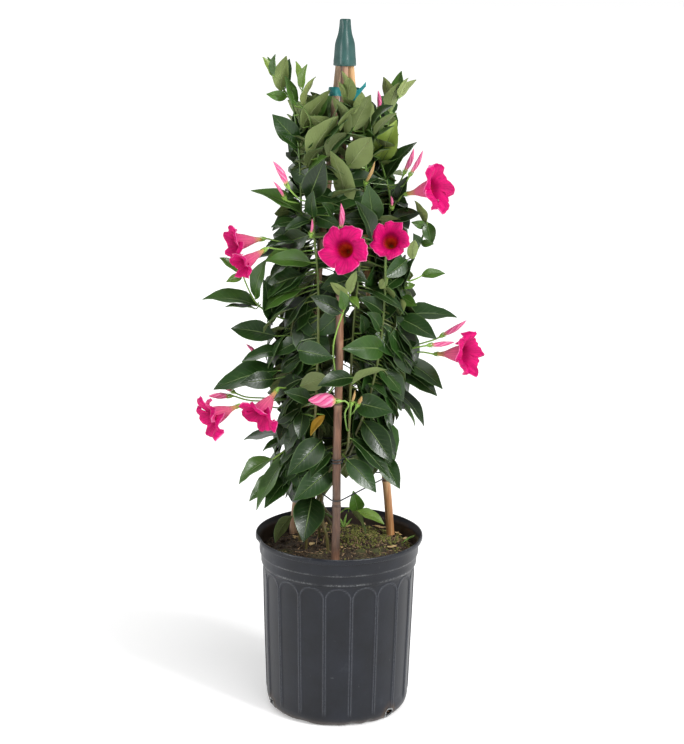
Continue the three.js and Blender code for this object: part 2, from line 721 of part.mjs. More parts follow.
function stakeEnds(name) {
  const [footX, footY] = STAKE_FEET[name];
  const angle = STAKE_TOP_ANGLES[name] * DEG;
  const top = new THREE.Vector3(STAKE_TOP_SPREAD * Math.cos(angle), STAKE_TOP_SPREAD * Math.sin(angle), STAKE_TOP);
  const foot = new THREE.Vector3(footX, footY, SOIL_MIDDLE);
  const down = foot.clone().sub(top).normalize();
  const bottom = top.clone().addScaledVector(down, (STAKE_TOP - STAKE_BOTTOM) / -down.z);
  return { bottom, top };
}

function stakeProfile(length) {
  const radius = (share) => STAKE_RADIUS + (STAKE_TOP_RADIUS - STAKE_RADIUS) * share;
  const profile = [[0, 0], [STAKE_RADIUS, 0]];
  for (const share of STAKE_NODE_HEIGHTS) {
    profile.push([radius(share), share * length - 6]);
    profile.push([radius(share) + STAKE_NODE_SWELL, share * length]);
  }
  profile.push([STAKE_TOP_RADIUS, length], [0, length]);
  return profile;
}

function buildStakes() {
  for (const name of Object.keys(STAKE_FEET)) {
    const { bottom, top } = stakeEnds(name);
    const bamboo = finish(0xb98a5e, 0.6);
    add(name, lathe(stakeProfile(bottom.distanceTo(top)), 7), bamboo, bottom, top);
  }
}

function stakeHole(name, radius) {
  const { bottom, top } = stakeEnds(name);
  const along = top.clone().sub(bottom);
  const length = along.length();
  along.normalize();
  const hole = new THREE.CylinderGeometry(radius, radius, length + 2, 7);
  hole.translate(0, length / 2, 0);
  hole.applyQuaternion(new THREE.Quaternion().setFromUnitVectors(new THREE.Vector3(0, 1, 0), along));
  hole.translate(bottom.x, bottom.y, bottom.z);
  return solidFrom(hole);
}

// The cap is a three-lobed plug with a socket for each stake.
function buildCap() {
  const height = CAP_TOP - CAP_BOTTOM;
  const profile = [
    [0, CAP_BOTTOM],
    [CAP_BOTTOM_RADIUS, CAP_BOTTOM],
    [CAP_BOTTOM_RADIUS, CAP_BOTTOM + 8],
    [CAP_BOTTOM_RADIUS * 0.8, CAP_BOTTOM + height * 0.5],
    [CAP_TOP_RADIUS + 1.4, CAP_TOP - 9],
    [CAP_TOP_RADIUS, CAP_TOP - 1],
    [CAP_TOP_RADIUS - 1, CAP_TOP],
    [0, CAP_TOP],
  ];
  const shell = standing(profile, 12);
  const places = shell.attributes.position;
  for (let i = 0; i < places.count; i += 1) {
    const angle = Math.atan2(places.getY(i), places.getX(i));
    const swell = 1 + CAP_LOBE * (Math.cos(3 * (angle + Math.PI / 2)) - 1) * 0.5;
    places.setXY(i, places.getX(i) * swell, places.getY(i) * swell);
  }
  const sockets = Object.keys(STAKE_FEET).map((name) => stakeHole(name, STAKE_TOP_RADIUS + 0.75));
  add('stake_cap', geometryFrom(solidFrom(shell).subtract(wasm.Manifold.union(sockets))), finish(0x2f5f5b, 0.45));
}

// The middle of a stake at a height.
function stakeMiddle(name, height) {
  const { bottom, top } = stakeEnds(name);
  const share = (height - bottom.z) / (top.z - bottom.z);
  return bottom.clone().lerp(top, share);
}

// The tie tape: a spiral turn round the three stakes, and a free end that stands up to the right.
function buildTie() {
  const points = [];
  const middle = stakeMiddle('stake_right', TIE_HEIGHT);
  const radius = Math.hypot(middle.x, middle.y) + STAKE_RADIUS + TIE_SLACK;
  for (let k = 0; k <= TIE_PARTS; k += 1) {
    const part = k / TIE_PARTS;
    const angle = TIE_START * DEG + part * TURN;
    const away = radius + TIE_LAP * part;
    points.push(new THREE.Vector3(away * Math.cos(angle), away * Math.sin(angle), TIE_HEIGHT));
  }
  points.push(...TIE_TAIL.map((place) => seen(...place)));
  const out = TIE_THICKNESS / 2;
  const rise = TIE_WIDTH / 2;
  const band = [[-out, -rise], [out, -rise], [out, rise], [-out, rise]];
  add('tie_tape', sweep(points, band), finish(0x1fb5a0, 0.4));
}

// A wire hoop runs straight from stake to stake and bends round the outside of each. Its two ends
// pass each other behind the left stake.
function buildHoop(name, height) {
  const middles = ['stake_left', 'stake_front', 'stake_right'].map((stake) => stakeMiddle(stake, height));
  const away = STAKE_RADIUS + WIRE_RADIUS + HOOP_SLACK;
  const points = [];
  const bend = (middle, from, to) => {
    for (let angle = from; angle <= to; angle += HOOP_BEND) {
      const spot = new THREE.Vector3(Math.cos(angle * DEG), Math.sin(angle * DEG), 0);
      points.push(middle.clone().addScaledVector(spot, away));
    }
  };
  bend(middles[0], 130, 210);
  bend(middles[1], 210, 330);
  bend(middles[2], -30, 90);
  bend(middles[0], 90, 170);
  const passing = 2 * WIRE_RADIUS + 1;
  for (const point of points.slice(-3)) point.z += passing;
  const section = [[WIRE_RADIUS, 0], [0, WIRE_RADIUS], [-WIRE_RADIUS, 0], [0, -WIRE_RADIUS]];
  add(name, sweep(points, section), finish(0x1d1f20, 0.5, 0.4));
}

// The stems

function stemPoints({ root, course }) {
  const places = course.map((place) => seen(...place));
  const [x, y] = root;
  const lean = new THREE.Vector3(x, y, SOIL_MIDDLE).lerp(places[0], LEAN_SHARE).setZ(SOIL_MIDDLE + LEAN_RISE);
  return [new THREE.Vector3(x, y, STEM_ROOT), new THREE.Vector3(x, y, SOIL_MIDDLE), lean, ...places];
}

// Places along the straight runs of a stem's tube, close enough together to find the nearest
// one to a leaf.
function sampled(points, step = STEM_STEP) {
  const corners = curveThrough(points).getSpacedPoints(stepsAlong(points, step));
  const places = [corners[0]];
  for (let k = 1; k < corners.length; k += 1) {
    for (let part = 1; part <= RUN_PARTS; part += 1) {
      places.push(corners[k - 1].clone().lerp(corners[k], part / RUN_PARTS));
    }
  }
  return places;
}

const vines = {};

function nearest(places, point) {
  let best = places[0];
  for (const place of places) {
    if (place.distanceToSquared(point) < best.distanceToSquared(point)) best = place;
  }
  return best;
}

function addToVine(vine, geometry) {
  const solid = solidFrom(geometry);
  vines[vine].solids.push(solid);
  keepClear(vine, solid);
}

function growStems() {
  for (const [name, stem] of Object.entries(STEMS)) {
    const points = stemPoints(stem);
    vines[name] = { solids: [], places: sampled(points), tubes: [points] };
    addToVine(name, tube(points, STEM_RADIUS, STEM_SIDES, STEM_STEP));
  }
  for (const { vine, course } of SHOOTS) growShoot(vine, course.map((place) => seen(...place)), SHOOT_RADIUS);
}

function growShoot(vine, places, radius) {
  const points = [nearest(vines[vine].places, places[0]), ...places];
  addToVine(vine, tube(points, radius, STALK_SIDES, STEM_STEP));
  vines[vine].places.push(...sampled(points));
}

// Flowers and buds, each seated on the flat top of its calyx

const CALYX_LENGTH = 7;
const CALYX_RADIUS = 3;
const CALYX_FOOT_RADIUS = 1.56;
const CALYX_OVERLAP = 1.5;

// A stalk that ends in a calyx, whose flat top the flower or bud stands on.
function growStalk(vine, by, foot, ahead) {
  const towards = ahead.clone().sub(foot).normalize();
  const heel = foot.clone().addScaledVector(towards, -CALYX_LENGTH);
  const stem = nearest(vines[vine].places, by.length ? by[0] : heel);
  const points = [stem, ...by, heel, heel.clone().addScaledVector(towards, CALYX_OVERLAP)];
  addToVine(vine, tube(points, STALK_RADIUS, STALK_SIDES, STALK_STEP));
  const calyx = lathe([[0, 0], [CALYX_FOOT_RADIUS, 0], [CALYX_RADIUS, CALYX_LENGTH], [0, CALYX_LENGTH]], 4);
  calyx.applyQuaternion(new THREE.Quaternion().setFromUnitVectors(new THREE.Vector3(0, 1, 0), towards));
  calyx.translate(heel.x, heel.y, heel.z);
  addToVine(vine, calyx);
  return foot.clone().addScaledVector(towards, GAP);
}

const LOBES = 5;
const FLOWER_SKIN = 0.9;
const FLOWER_FOOT_RADIUS = 2.4;
const FLOWER_NECK_RADIUS = 3.6;
const FLOWER_NECK = 0.42;
const FLOWER_THROAT = 0.7;
const FLOWER_WELL = 0.46;
const MOUTH_RADIUS = 10;
const MOUTH_SHARE = 0.27;
const THROAT_SHARE = 0.84;

// The three places of a lobe's edge: its notch, its shoulder and its point, each by how far it
// reaches, its place along the lobe's turn and how far it waves up, in millimetres.
const LOBE_PLACES = [
  { reaches: 0.66, along: 0, wave: -1.4 },
  { reaches: 0.94, along: 0.34, wave: 1.2 },
  { reaches: 1, along: 0.7, wave: 1.2 },
];

// A flower's skin: the rings of its tube, then those of its lobes, which spread from the mouth at
// the opening angle, and back down its inner face to the bottom of its throat. A ring gives its
// height on the tube, its radius, how far it is lifted with the lobes, and how much of the skin's
// thickness stands upwards instead of inwards there.
function flowerGeometry(length, radius, open, turn) {
  const mouth = Math.min(MOUTH_RADIUS, radius * MOUTH_SHARE);
  const reach = radius - mouth;
  const spread = Math.cos(open * DEG) / Math.sin(open * DEG);
  const rings = [
    { height: 0, radius: () => FLOWER_FOOT_RADIUS, lift: 0, upwards: 0 },
    { height: length * FLOWER_NECK, radius: () => FLOWER_NECK_RADIUS, lift: 0, upwards: 0 },
    { height: length * FLOWER_THROAT, radius: () => mouth * THROAT_SHARE, lift: 0, upwards: 0 },
    { height: length, radius: () => mouth, lift: 0, upwards: 0.5 },
    { height: length, radius: (reaches) => mouth + reach * (0.4 + 0.1 * reaches), lift: 0.5, upwards: 1 },
    { height: length, radius: (reaches) => mouth + reach * reaches, lift: 0.86, upwards: 1 },
  ];
  const ring = (index, skin) => {
    const { height, radius: radiusAt, lift, upwards } = rings[index];
    const points = [];
    for (let lobe = 0; lobe < LOBES; lobe += 1) {
      for (const { reaches, along, wave } of LOBE_PLACES) {
        const angle = ((lobe + along) / LOBES) * TURN + turn * DEG;
        const away = radiusAt(reaches) - skin * (1 - upwards);
        const rise = height + lift * (reach * spread * reaches + wave) + skin * upwards;
        points.push(new THREE.Vector3(away * Math.cos(angle), rise, away * Math.sin(angle)));
      }
    }
    return points;
  };
  const outer = rings.map((_, index) => ring(index, 0));
  const inner = [5, 4, 3].map((index) => ring(index, FLOWER_SKIN));
  const well = [new THREE.Vector3(0, length * FLOWER_WELL, 0)];
  return loft([...outer, ...inner, well], (band) => band >= outer.length);
}

function growFlowers() {
  for (const flower of FLOWERS) {
    const foot = seen(...flower.foot);
    const mouth = seen(...flower.mouth);
    const by = FLOWER_STALKS[flower.name].map((place) => seen(...place));
    const seat = growStalk(flower.vine, by, foot, mouth);
    const skin = flowerGeometry(seat.distanceTo(mouth), flower.radius, flower.open, flower.turn);
    add(flower.name, geometryFrom(solidFrom(skin)), finish(0xe8207e, 0.55), seat, mouth);
  }
}

function budGeometry(length, width) {
  const half = width / 2;
  return lathe([
    [0, 0],
    [Math.min(2.4, half * 0.8), 0],
    [half, length * 0.4],
    [half * 0.5, length * 0.82],
    [0, length],
  ], 5);
}

function growBuds() {
  for (const bud of BUDS) {
    const foot = seen(...bud.foot);
    const tip = seen(...bud.tip);
    const seat = growStalk(bud.vine, bud.by.map((place) => seen(...place)), foot, tip);
    add(bud.name, budGeometry(seat.distanceTo(tip), bud.width), finish(0xec5f93, 0.5), seat, tip);
  }
}

// Leaves

// A blade's half width by the share of its length, 1 at its widest: full near the base, with a
// drawn-out tip.
function bladeShape(share) {
  return Math.sin(Math.PI * share ** 0.82) ** 0.85 * (1 - 0.16 * share);
}

function bladeStations(length) {
  if (length > LONG_LEAF) return LONG_BLADE_STATIONS;
  return length > SHORT_LEAF ? MIDDLE_BLADE_STATIONS : SHORT_BLADE_STATIONS;
}

// One leaf: its stalk from inside the stem, and an arched blade folded along its midrib.
function leafGeometry({ from, base, tip, normal, width, fold, arch, plain = false, grow = 0 }, stalk = true) {
  const axis = tip.clone().sub(base);
  const length = axis.length();
  axis.divideScalar(length);
  const side = axis.clone().cross(normal).normalize();
  const up = side.clone().cross(axis);
  const ring = (middle, half, thick, lift, across = side, above = up) => [
    middle.clone().addScaledVector(across, -half).addScaledVector(above, lift),
    middle.clone().addScaledVector(above, thick),
    middle.clone().addScaledVector(across, half).addScaledVector(above, lift),
    middle.clone().addScaledVector(above, -thick),
  ];
  const stalkRing = (middle, way) => {
    const bend = new THREE.Quaternion().setFromUnitVectors(axis, way);
    const half = LEAF_STALK_HALF + grow;
    return ring(middle, half, half, 0, side.clone().applyQuaternion(bend), up.clone().applyQuaternion(bend));
  };
  const midrib = (share) => base.clone()
    .addScaledVector(axis, share * length)
    .addScaledVector(up, arch * length * 4 * share * (1 - share));
  const rings = [];
  const reach = from.distanceTo(base);
  const way = reach > STALK_ROOM ? base.clone().sub(from).divideScalar(reach) : axis;
  if (stalk) rings.push(stalkRing(from, way));
  const straight = reach < SHORT_STALK && way.dot(axis) > STRAIGHT;
  if (!stalk || !straight) rings.push(stalkRing(base, way.clone().add(axis).normalize()));
  for (const share of plain ? SHORT_BLADE_STATIONS : bladeStations(length)) {
    const half = (width / 2) * bladeShape(share) * BLADE_FULLNESS;
    rings.push(ring(midrib(share), half + grow, BLADE_THICKNESS / 2 + grow, half * fold));
  }
  rings.push([tip.clone().addScaledVector(axis, grow)]);
  return loft(rings, (band, quarter) => quarter > 1);
}

// The way a leaf faces: to the front as far as its seen width asks, and for the rest upwards.
function facing(base, tip, seenWidth, under, turn) {
  const axis = tip.clone().sub(base);
  const length = axis.length();
  axis.divideScalar(length);
  const eye = new THREE.Vector3(...VIEW.eye);
  const middle = base.clone().lerp(tip, 0.5);
  const sight = eye.clone().sub(middle);
  const scale = sight.length() / VIEW.focal;
  sight.addScaledVector(axis, -sight.dot(axis)).normalize();
  const across = axis.clone().cross(sight);
  const width = Math.max(LEAF_PROPORTION * length, seenWidth * scale);
  const tilt = Math.acos(Math.min(1, (seenWidth * scale) / width)) + turn * DEG;
  const front = under ? -1 : 1;
  const rise = across.z >= 0 ? 1 : -1;
  const normal = sight.multiplyScalar(front * Math.cos(tilt)).addScaledVector(across, rise * Math.sin(tilt));
  return { normal: normal.normalize(), width };
}

function nearestStem(point) {
  let best = null;
  for (const [vine, { places }] of Object.entries(vines)) {
    const place = nearest(places, point);
    if (!best || place.distanceToSquared(point) < best.place.distanceToSquared(point)) best = { vine, place };
  }
  return best;
}

// Grows a leaf on its stem, and says whether it did: a leaf has to clear all that is there. It may
// only touch its own stem, and its stalk may pass through its own stem's other leaves.
function growLeaf(leaf, vine) {
  const whole = solidFrom(leafGeometry({ ...leaf, grow: LEAF_CLEARANCE }));
  const blade = solidFrom(leafGeometry({ ...leaf, grow: LEAF_CLEARANCE }, false));
  const box = whole.boundingBox();
  for (const other of made) {
    if (!boxesMeet(other.box, box)) continue;
    const own = other.owner === vine;
    if (own && !other.leaf) continue;
    if (!(own ? blade : whole).intersect(other.solid).isEmpty()) return false;
  }
  const solid = solidFrom(leafGeometry(leaf));
  vines[vine].solids.push(solid);
  keepClear(vine, solid, true);
  return true;
}

// Grows each leaf of the list at the first place of its room that is free.
function growShownLeaves(random) {
  for (const [baseColumn, baseRow, baseDepth, tipColumn, tipRow, tipDepth, seenWidth, under] of LEAVES) {
    const fold = FOLD_LEAST + FOLD_MORE * random();
    const arch = ARCH_LEAST + ARCH_MORE * random();
    ROOM.some(({ shift, turn, length }) => {
      const base = seen(baseColumn, baseRow, baseDepth + shift);
      const tip = base.clone().lerp(seen(tipColumn, tipRow, tipDepth + shift), length);
      const { normal, width } = facing(base, tip, seenWidth, under === 'under', turn);
      const { vine, place } = nearestStem(base);
      return growLeaf({ from: place, base, tip, normal, width, fold, arch }, vine);
    });
  }
}

function insideFoliage(point) {
  const [column, row] = pictured(point);
  if (point.y > FOLIAGE_BACK || point.y < FOLIAGE_FRONT) return false;
  if (row < FOLIAGE_EDGES[0][0] || row > FOLIAGE_EDGES[FOLIAGE_EDGES.length - 1][0]) return false;
  const next = FOLIAGE_EDGES.findIndex(([edgeRow]) => edgeRow >= row);
  const [rowB, leftB, rightB] = FOLIAGE_EDGES[next];
  const [rowA, leftA, rightA] = FOLIAGE_EDGES[Math.max(0, next - 1)];
  const share = rowB === rowA ? 0 : (row - rowA) / (rowB - rowA);
  const left = leftA + (leftB - leftA) * share;
  const right = rightA + (rightB - rightA) * share;
  return column > left && column < right;
}

// Leaves in opposite pairs up every main stem, each pair turned a quarter from the last, drooping
// low on the plant, level in its middle and reaching up at its top.
function growPairs(random) {
  for (const [vine, stem] of Object.entries(STEMS)) {
    const places = sampled(stemPoints(stem));
    let since = 0;
    let pair = 0;
    for (let k = 1; k < places.length; k += 1) {
      const here = places[k];
      since += here.distanceTo(places[k - 1]);
      if (here.z < FIRST_PAIR_HEIGHT || here.z > LAST_PAIR_HEIGHT || since < stem.spacing) continue;
      since = 0;
      pair += 1;
      for (const quarter of PAIR_TURNS[pair % 2]) growPairLeaf(vine, here, quarter, random);
    }
  }
}

// Grows one leaf of a pair, the given quarter round from the stem's outer side, in the first
// place of its room that is free and inside the mass of foliage.
function growPairLeaf(vine, here, quarter, random) {
  const draw = [random(), random(), random(), random(), random()];
  const outward = Math.atan2(here.y, here.x);
  const share = (here.z - FIRST_PAIR_HEIGHT) / (LAST_PAIR_HEIGHT - FIRST_PAIR_HEIGHT);
  const climb = (LOW_DROOP + CLIMB_GAIN * share ** 2 + (draw[1] - 0.5) * CLIMB_RANGE) * DEG;
  const longer = (LEAF_LENGTHS[1] - LEAF_LENGTHS[0]) * draw[2];
  const length = LEAF_LENGTHS[0] + longer * (1 - HIGH_LEAF_LOSS * share);
  const fold = FOLD_LEAST + PAIR_FOLD_MORE * draw[4];
  for (const { sweep, turn, length: part } of INNER_ROOM) {
    const heading = outward + (quarter + sweep + (draw[0] - 0.5) * HEADING_RANGE) * DEG;
    const level = Math.cos(climb);
    const way = new THREE.Vector3(Math.cos(heading) * level, Math.sin(heading) * level, Math.sin(climb));
    const base = here.clone().addScaledVector(way, PAIR_STALK);
    const tip = base.clone().addScaledVector(way, length * part);
    if (!insideFoliage(tip) || !insideFoliage(base)) continue;
    const normal = new THREE.Vector3(0, 0, 1).addScaledVector(way, -way.z).normalize();
    normal.applyAxisAngle(way, ((draw[3] - 0.5) * ROLL_RANGE + turn) * DEG);
    const width = length * part * PAIR_PROPORTION;
    const leaf = { from: here, base, tip, normal, width, fold, arch: PAIR_ARCH, plain: true };
    if (growLeaf(leaf, vine)) return;
  }
}

function finishVines() {
  for (const [name, { solids }] of Object.entries(vines)) {
    const solid = wasm.Manifold.union(solids);
    const mesh = new THREE.Mesh(geometryFrom(solid), finish(0x35562c, 0.5));
    mesh.name = name;
    group.add(mesh);
  }
}

// The soil, with a hole for each stake and stem that stands in it.
function buildSoil() {
  const clear = SOIL_CLEARANCE;
  const profile = [
    [0, FLOOR + clear],
    [FOOT_RADIUS - 1.5, FLOOR + clear],
    [CHINE_RADIUS - WALL - clear, CHINE_HEIGHT + 4.5],
    [BODY_TOP_RADIUS - WALL - clear, BODY_TOP],
    [COLLAR_RADIUS - 0.6 - WALL - clear, SOIL_EDGE],
    [100, SOIL_EDGE + 3],
    [78, SOIL_EDGE + 4.5],
    [54, SOIL_MIDDLE - 1],
    [28, SOIL_MIDDLE],
    [0, SOIL_MIDDLE],
  ];
  const bed = standing(profile, SOIL_SIDES);
  const places = bed.attributes.position;
  for (let i = 0; i < places.count; i += 1) {
    const x = places.getX(i);
    const y = places.getY(i);
    if (places.getZ(i) < SOIL_EDGE + 1) continue;
    places.setZ(i, places.getZ(i) + SOIL_LUMP * Math.sin(x * 0.13) * Math.cos(y * 0.17 + 1));
  }
  const holes = Object.keys(STAKE_FEET).map((name) => stakeHole(name, STAKE_RADIUS + 1.5));
  for (const { root } of Object.values(STEMS)) {
    const hole = new THREE.CylinderGeometry(STEM_HOLE_RADIUS, STEM_HOLE_RADIUS, 60, 6).rotateX(Math.PI / 2);
    holes.push(solidFrom(hole.translate(root[0], root[1], STEM_ROOT - GAP + 30)));
  }
  add('soil', geometryFrom(solidFrom(bed).subtract(wasm.Manifold.union(holes))), finish(0x2f2620, 0.95));
}

buildPot();
buildSoil();
buildStakes();
buildCap();
buildTie();
for (const [name, height] of Object.entries(HOOP_HEIGHTS)) buildHoop(name, height);
growStems();
growFlowers();
growBuds();
const random = seededRandom(SEED);
growShownLeaves(random);
growPairs(random);
finishVines();

export default group;
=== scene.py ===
"""A potted mandevilla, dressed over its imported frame.

A climbing vine in flower, trained up a tripod of bamboo that stands in a fluted nursery pot.
Metres, +Z up, the front towards -Y. Sizes in the classes are in millimetres, as on a drawing.
"""
import logging
import math
from dataclasses import dataclass, field
from enum import Enum
from itertools import product
from typing import Any, Callable, Iterator, Sequence

import bpy
import numpy as np
from mathutils import Matrix, Vector
from mathutils.kdtree import KDTree


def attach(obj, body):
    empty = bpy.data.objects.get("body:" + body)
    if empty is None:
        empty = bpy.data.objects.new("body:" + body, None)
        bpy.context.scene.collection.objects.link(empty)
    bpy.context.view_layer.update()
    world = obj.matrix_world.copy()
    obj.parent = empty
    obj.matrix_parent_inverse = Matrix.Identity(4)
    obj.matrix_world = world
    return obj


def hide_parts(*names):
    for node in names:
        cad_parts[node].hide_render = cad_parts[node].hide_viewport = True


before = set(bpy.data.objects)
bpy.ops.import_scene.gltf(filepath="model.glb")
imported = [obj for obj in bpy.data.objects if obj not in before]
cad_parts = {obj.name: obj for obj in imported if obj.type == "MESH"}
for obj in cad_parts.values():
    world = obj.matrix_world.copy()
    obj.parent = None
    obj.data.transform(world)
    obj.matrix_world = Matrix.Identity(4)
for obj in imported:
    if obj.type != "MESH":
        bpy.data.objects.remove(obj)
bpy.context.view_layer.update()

MM = 0.001
TURN = 2 * math.pi
SEED = 20741
Piece = bpy.types.Object
Material = bpy.types.Material
Rows = np.ndarray
Triple = tuple[float, float, float]
Numbers = tuple[float, ...]
Pair = tuple[float, float]
Pairs = tuple[Pair, ...]
Stops = tuple[tuple[float, str], ...]
Place = Callable[[Rows, Rows], Rows]
log = logging.getLogger("mandevilla")


def linear(code: str) -> Numbers:
    """Turn an sRGB hex colour into a linear one with a full alpha."""
    parts = [int(code[k:k + 2], 16) / 255 for k in (0, 2, 4)]
    return (*(part / 12.92 if part <= 0.04045 else ((part + 0.055) / 1.055) ** 2.4 for part in parts), 1.0)


def smooth(low: float, high: float, value: Rows) -> Rows:
    """Rise smoothly from 0 at a low value to 1 at a high one."""
    share = np.clip((value - low) / (high - low), 0, 1)
    return share * share * (3 - 2 * share)


def bell(away: Rows, width: float) -> Rows:
    """Give 1 at a distance of 0, falling like a bell of this width."""
    return np.exp(-(away / width) ** 2)


def unit(vector: Rows) -> Rows:
    """Give a vector, or each of a row of vectors, a length of one."""
    return vector / np.maximum(np.linalg.norm(vector, axis=-1, keepdims=True), 1e-9)


def round_axis(radius: Rows, angle: Rows, rise: Rows) -> Rows:
    """Give places round the Z axis, the angle in radians."""
    return np.column_stack(np.broadcast_arrays(radius * np.cos(angle), radius * np.sin(angle), rise))


def standing_on(places: Rows, base: Rows, way: Rows) -> Rows:
    """Turn places that rise along Z to rise another way, from a base."""
    turn = np.array(Vector((0, 1, 0)).rotation_difference(Vector(way)).to_matrix())
    return places[:, (0, 2, 1)] @ turn.T + base


class Shader:
    """A material's nodes while they are put together."""

    choices: dict[str, str] = {"Mix": "data_type", "MapRange": "interpolation_type"}

    def __init__(self, name: str) -> None:
        """Start an empty material of this name."""
        self.material = bpy.data.materials.new(name)
        self.material.use_nodes = True
        self.tree = self.material.node_tree
        self.tree.nodes.clear()

    def __call__(self, kind: str, *values: Any, stops: Stops = (), **more: Any) -> Any:
        """Add one node with its settings and links.

        Args:
            kind: The node's type without its common first word, then its operation or like choice
                after a dot.
            values: Its inputs in order: numbers, hex colours, nodes or sockets.
            stops: The places and hex colours of a ramp.
            more: Inputs by name where it starts with a capital, else the node's own settings.

        Returns:
            The node.
        """
        kind, _, choice = kind.partition(".")
        node = self.tree.nodes.new("ShaderNode" + kind)
        if choice:
            setattr(node, self.choices.get(kind, "operation"), choice)
        for key, value in more.items():
            if key[0].islower():
                setattr(node, key, value)
        if stops:
            ramp = node.color_ramp.elements
            ramp.remove(ramp[1])
            ramp[0].position, ramp[0].color = stops[0][0], linear(stops[0][1])
            for share, code in stops[1:]:
                ramp.new(share).color = linear(code)
        sockets = [socket for socket in node.inputs if socket.enabled]
        named = {socket.name.replace(" ", "_"): socket for socket in reversed(sockets)}
        chosen = [*zip(sockets, values), *((named[key], more[key]) for key in more if key[0].isupper())]
        for socket, value in chosen:
            if isinstance(value, bpy.types.Node):
                value = next(out for out in value.outputs if out.enabled)
            if isinstance(value, bpy.types.NodeSocket):
                self.tree.links.new(value, socket)
            else:
                socket.default_value = linear(value) if isinstance(value, str) else value
        return node

    def close(self, colour: Any, roughness: Any, height: Any = None, depth: float = 0.001,
              **fixed: Any) -> Material:
        """Join colour, roughness and relief to the surface.

        Args:
            colour: A colour, node or socket.
            roughness: A number, node or socket.
            height: The relief, as a node or socket.
            depth: How deep the relief is at a height of one, in metres.
            fixed: More inputs of the surface, with _ for a space in their names.

        Returns:
            The finished material.
        """
        if height is not None:
            fixed["Normal"] = self("Bump", Height=height, Distance=depth)
        self("OutputMaterial", self("BsdfPrincipled", Base_Color=colour, Roughness=roughness, **fixed))
        return self.material


def activate(piece: Piece, *others: Piece) -> None:
    """Select these pieces and nothing else, the first one active."""
    bpy.ops.object.select_all(action="DESELECT")
    for item in (piece, *others):
        item.select_set(True)
    bpy.context.view_layer.objects.active = piece


def points_of(piece: Piece) -> Rows:
    """Give the piece's vertices as rows of x, y and z."""
    points = np.empty(len(piece.data.vertices) * 3)
    piece.data.vertices.foreach_get("co", points)
    return points.reshape(-1, 3)


def place_points(piece: Piece, points: Rows) -> Piece:
    """Move the piece's vertices to these rows of x, y and z, and give the piece back."""
    piece.data.vertices.foreach_set("co", points.astype(np.float32).ravel())
    piece.data.update()
    return piece


def note(piece: Piece, **values: Any) -> Piece:
    """Note numbers at the piece's vertices, for its finish to read.

    Args:
        piece: The piece.
        values: By name, one number for all vertices or one for each.

    Returns:
        The same piece.
    """
    for name, value in values.items():
        whole = np.broadcast_to(np.asarray(value, dtype=np.float32), len(piece.data.vertices))
        piece.data.attributes.new(name, "FLOAT", "POINT").data.foreach_set("value", whole.copy())
    return piece


def copy_of(template: Piece, name: str) -> Piece:
    """Copy a template under a name, with a mesh of its own."""
    piece = bpy.data.objects.new(name, template.data.copy())
    bpy.context.scene.collection.objects.link(piece)
    return piece


def apply_modifier(piece: Piece, kind: str, **settings: Any) -> None:
    """Add a modifier of this kind with its settings, and apply it."""
    activate(piece)
    modifier = piece.modifiers.new(kind.title(), kind)
    for key, value in settings.items():
        setattr(modifier, key, value)
    bpy.ops.object.modifier_apply(modifier=modifier.name)


def edit(piece: Piece, *actions: Callable[[], Any]) -> None:
    """Run actions in edit mode, with all of the piece selected."""
    activate(piece)
    bpy.ops.object.mode_set(mode="EDIT")
    bpy.ops.mesh.select_all(action="SELECT")
    for action in actions:
        action()
    bpy.ops.object.mode_set(mode="OBJECT")


def merge() -> None:
    """Merge the selected vertices that share a place."""
    bpy.ops.mesh.remove_doubles(threshold=1e-6)


def face_outwards() -> None:
    """Turn the selected faces outwards."""
    bpy.ops.mesh.normals_make_consistent(inside=False)


def join(pieces: Sequence[Piece], name: str) -> Piece:
    """Join pieces into the first one, under a name."""
    activate(*pieces)
    if len(pieces) > 1:
        bpy.ops.object.join()
    pieces[0].name = pieces[0].data.name = name
    return pieces[0]


def soften(piece: Piece, angle: float = 40) -> Piece:
    """Shade smoothly over edges flatter than the angle in degrees, and give the piece back."""
    activate(piece)
    bpy.ops.object.shade_smooth_by_angle(angle=math.radians(angle))
    return piece


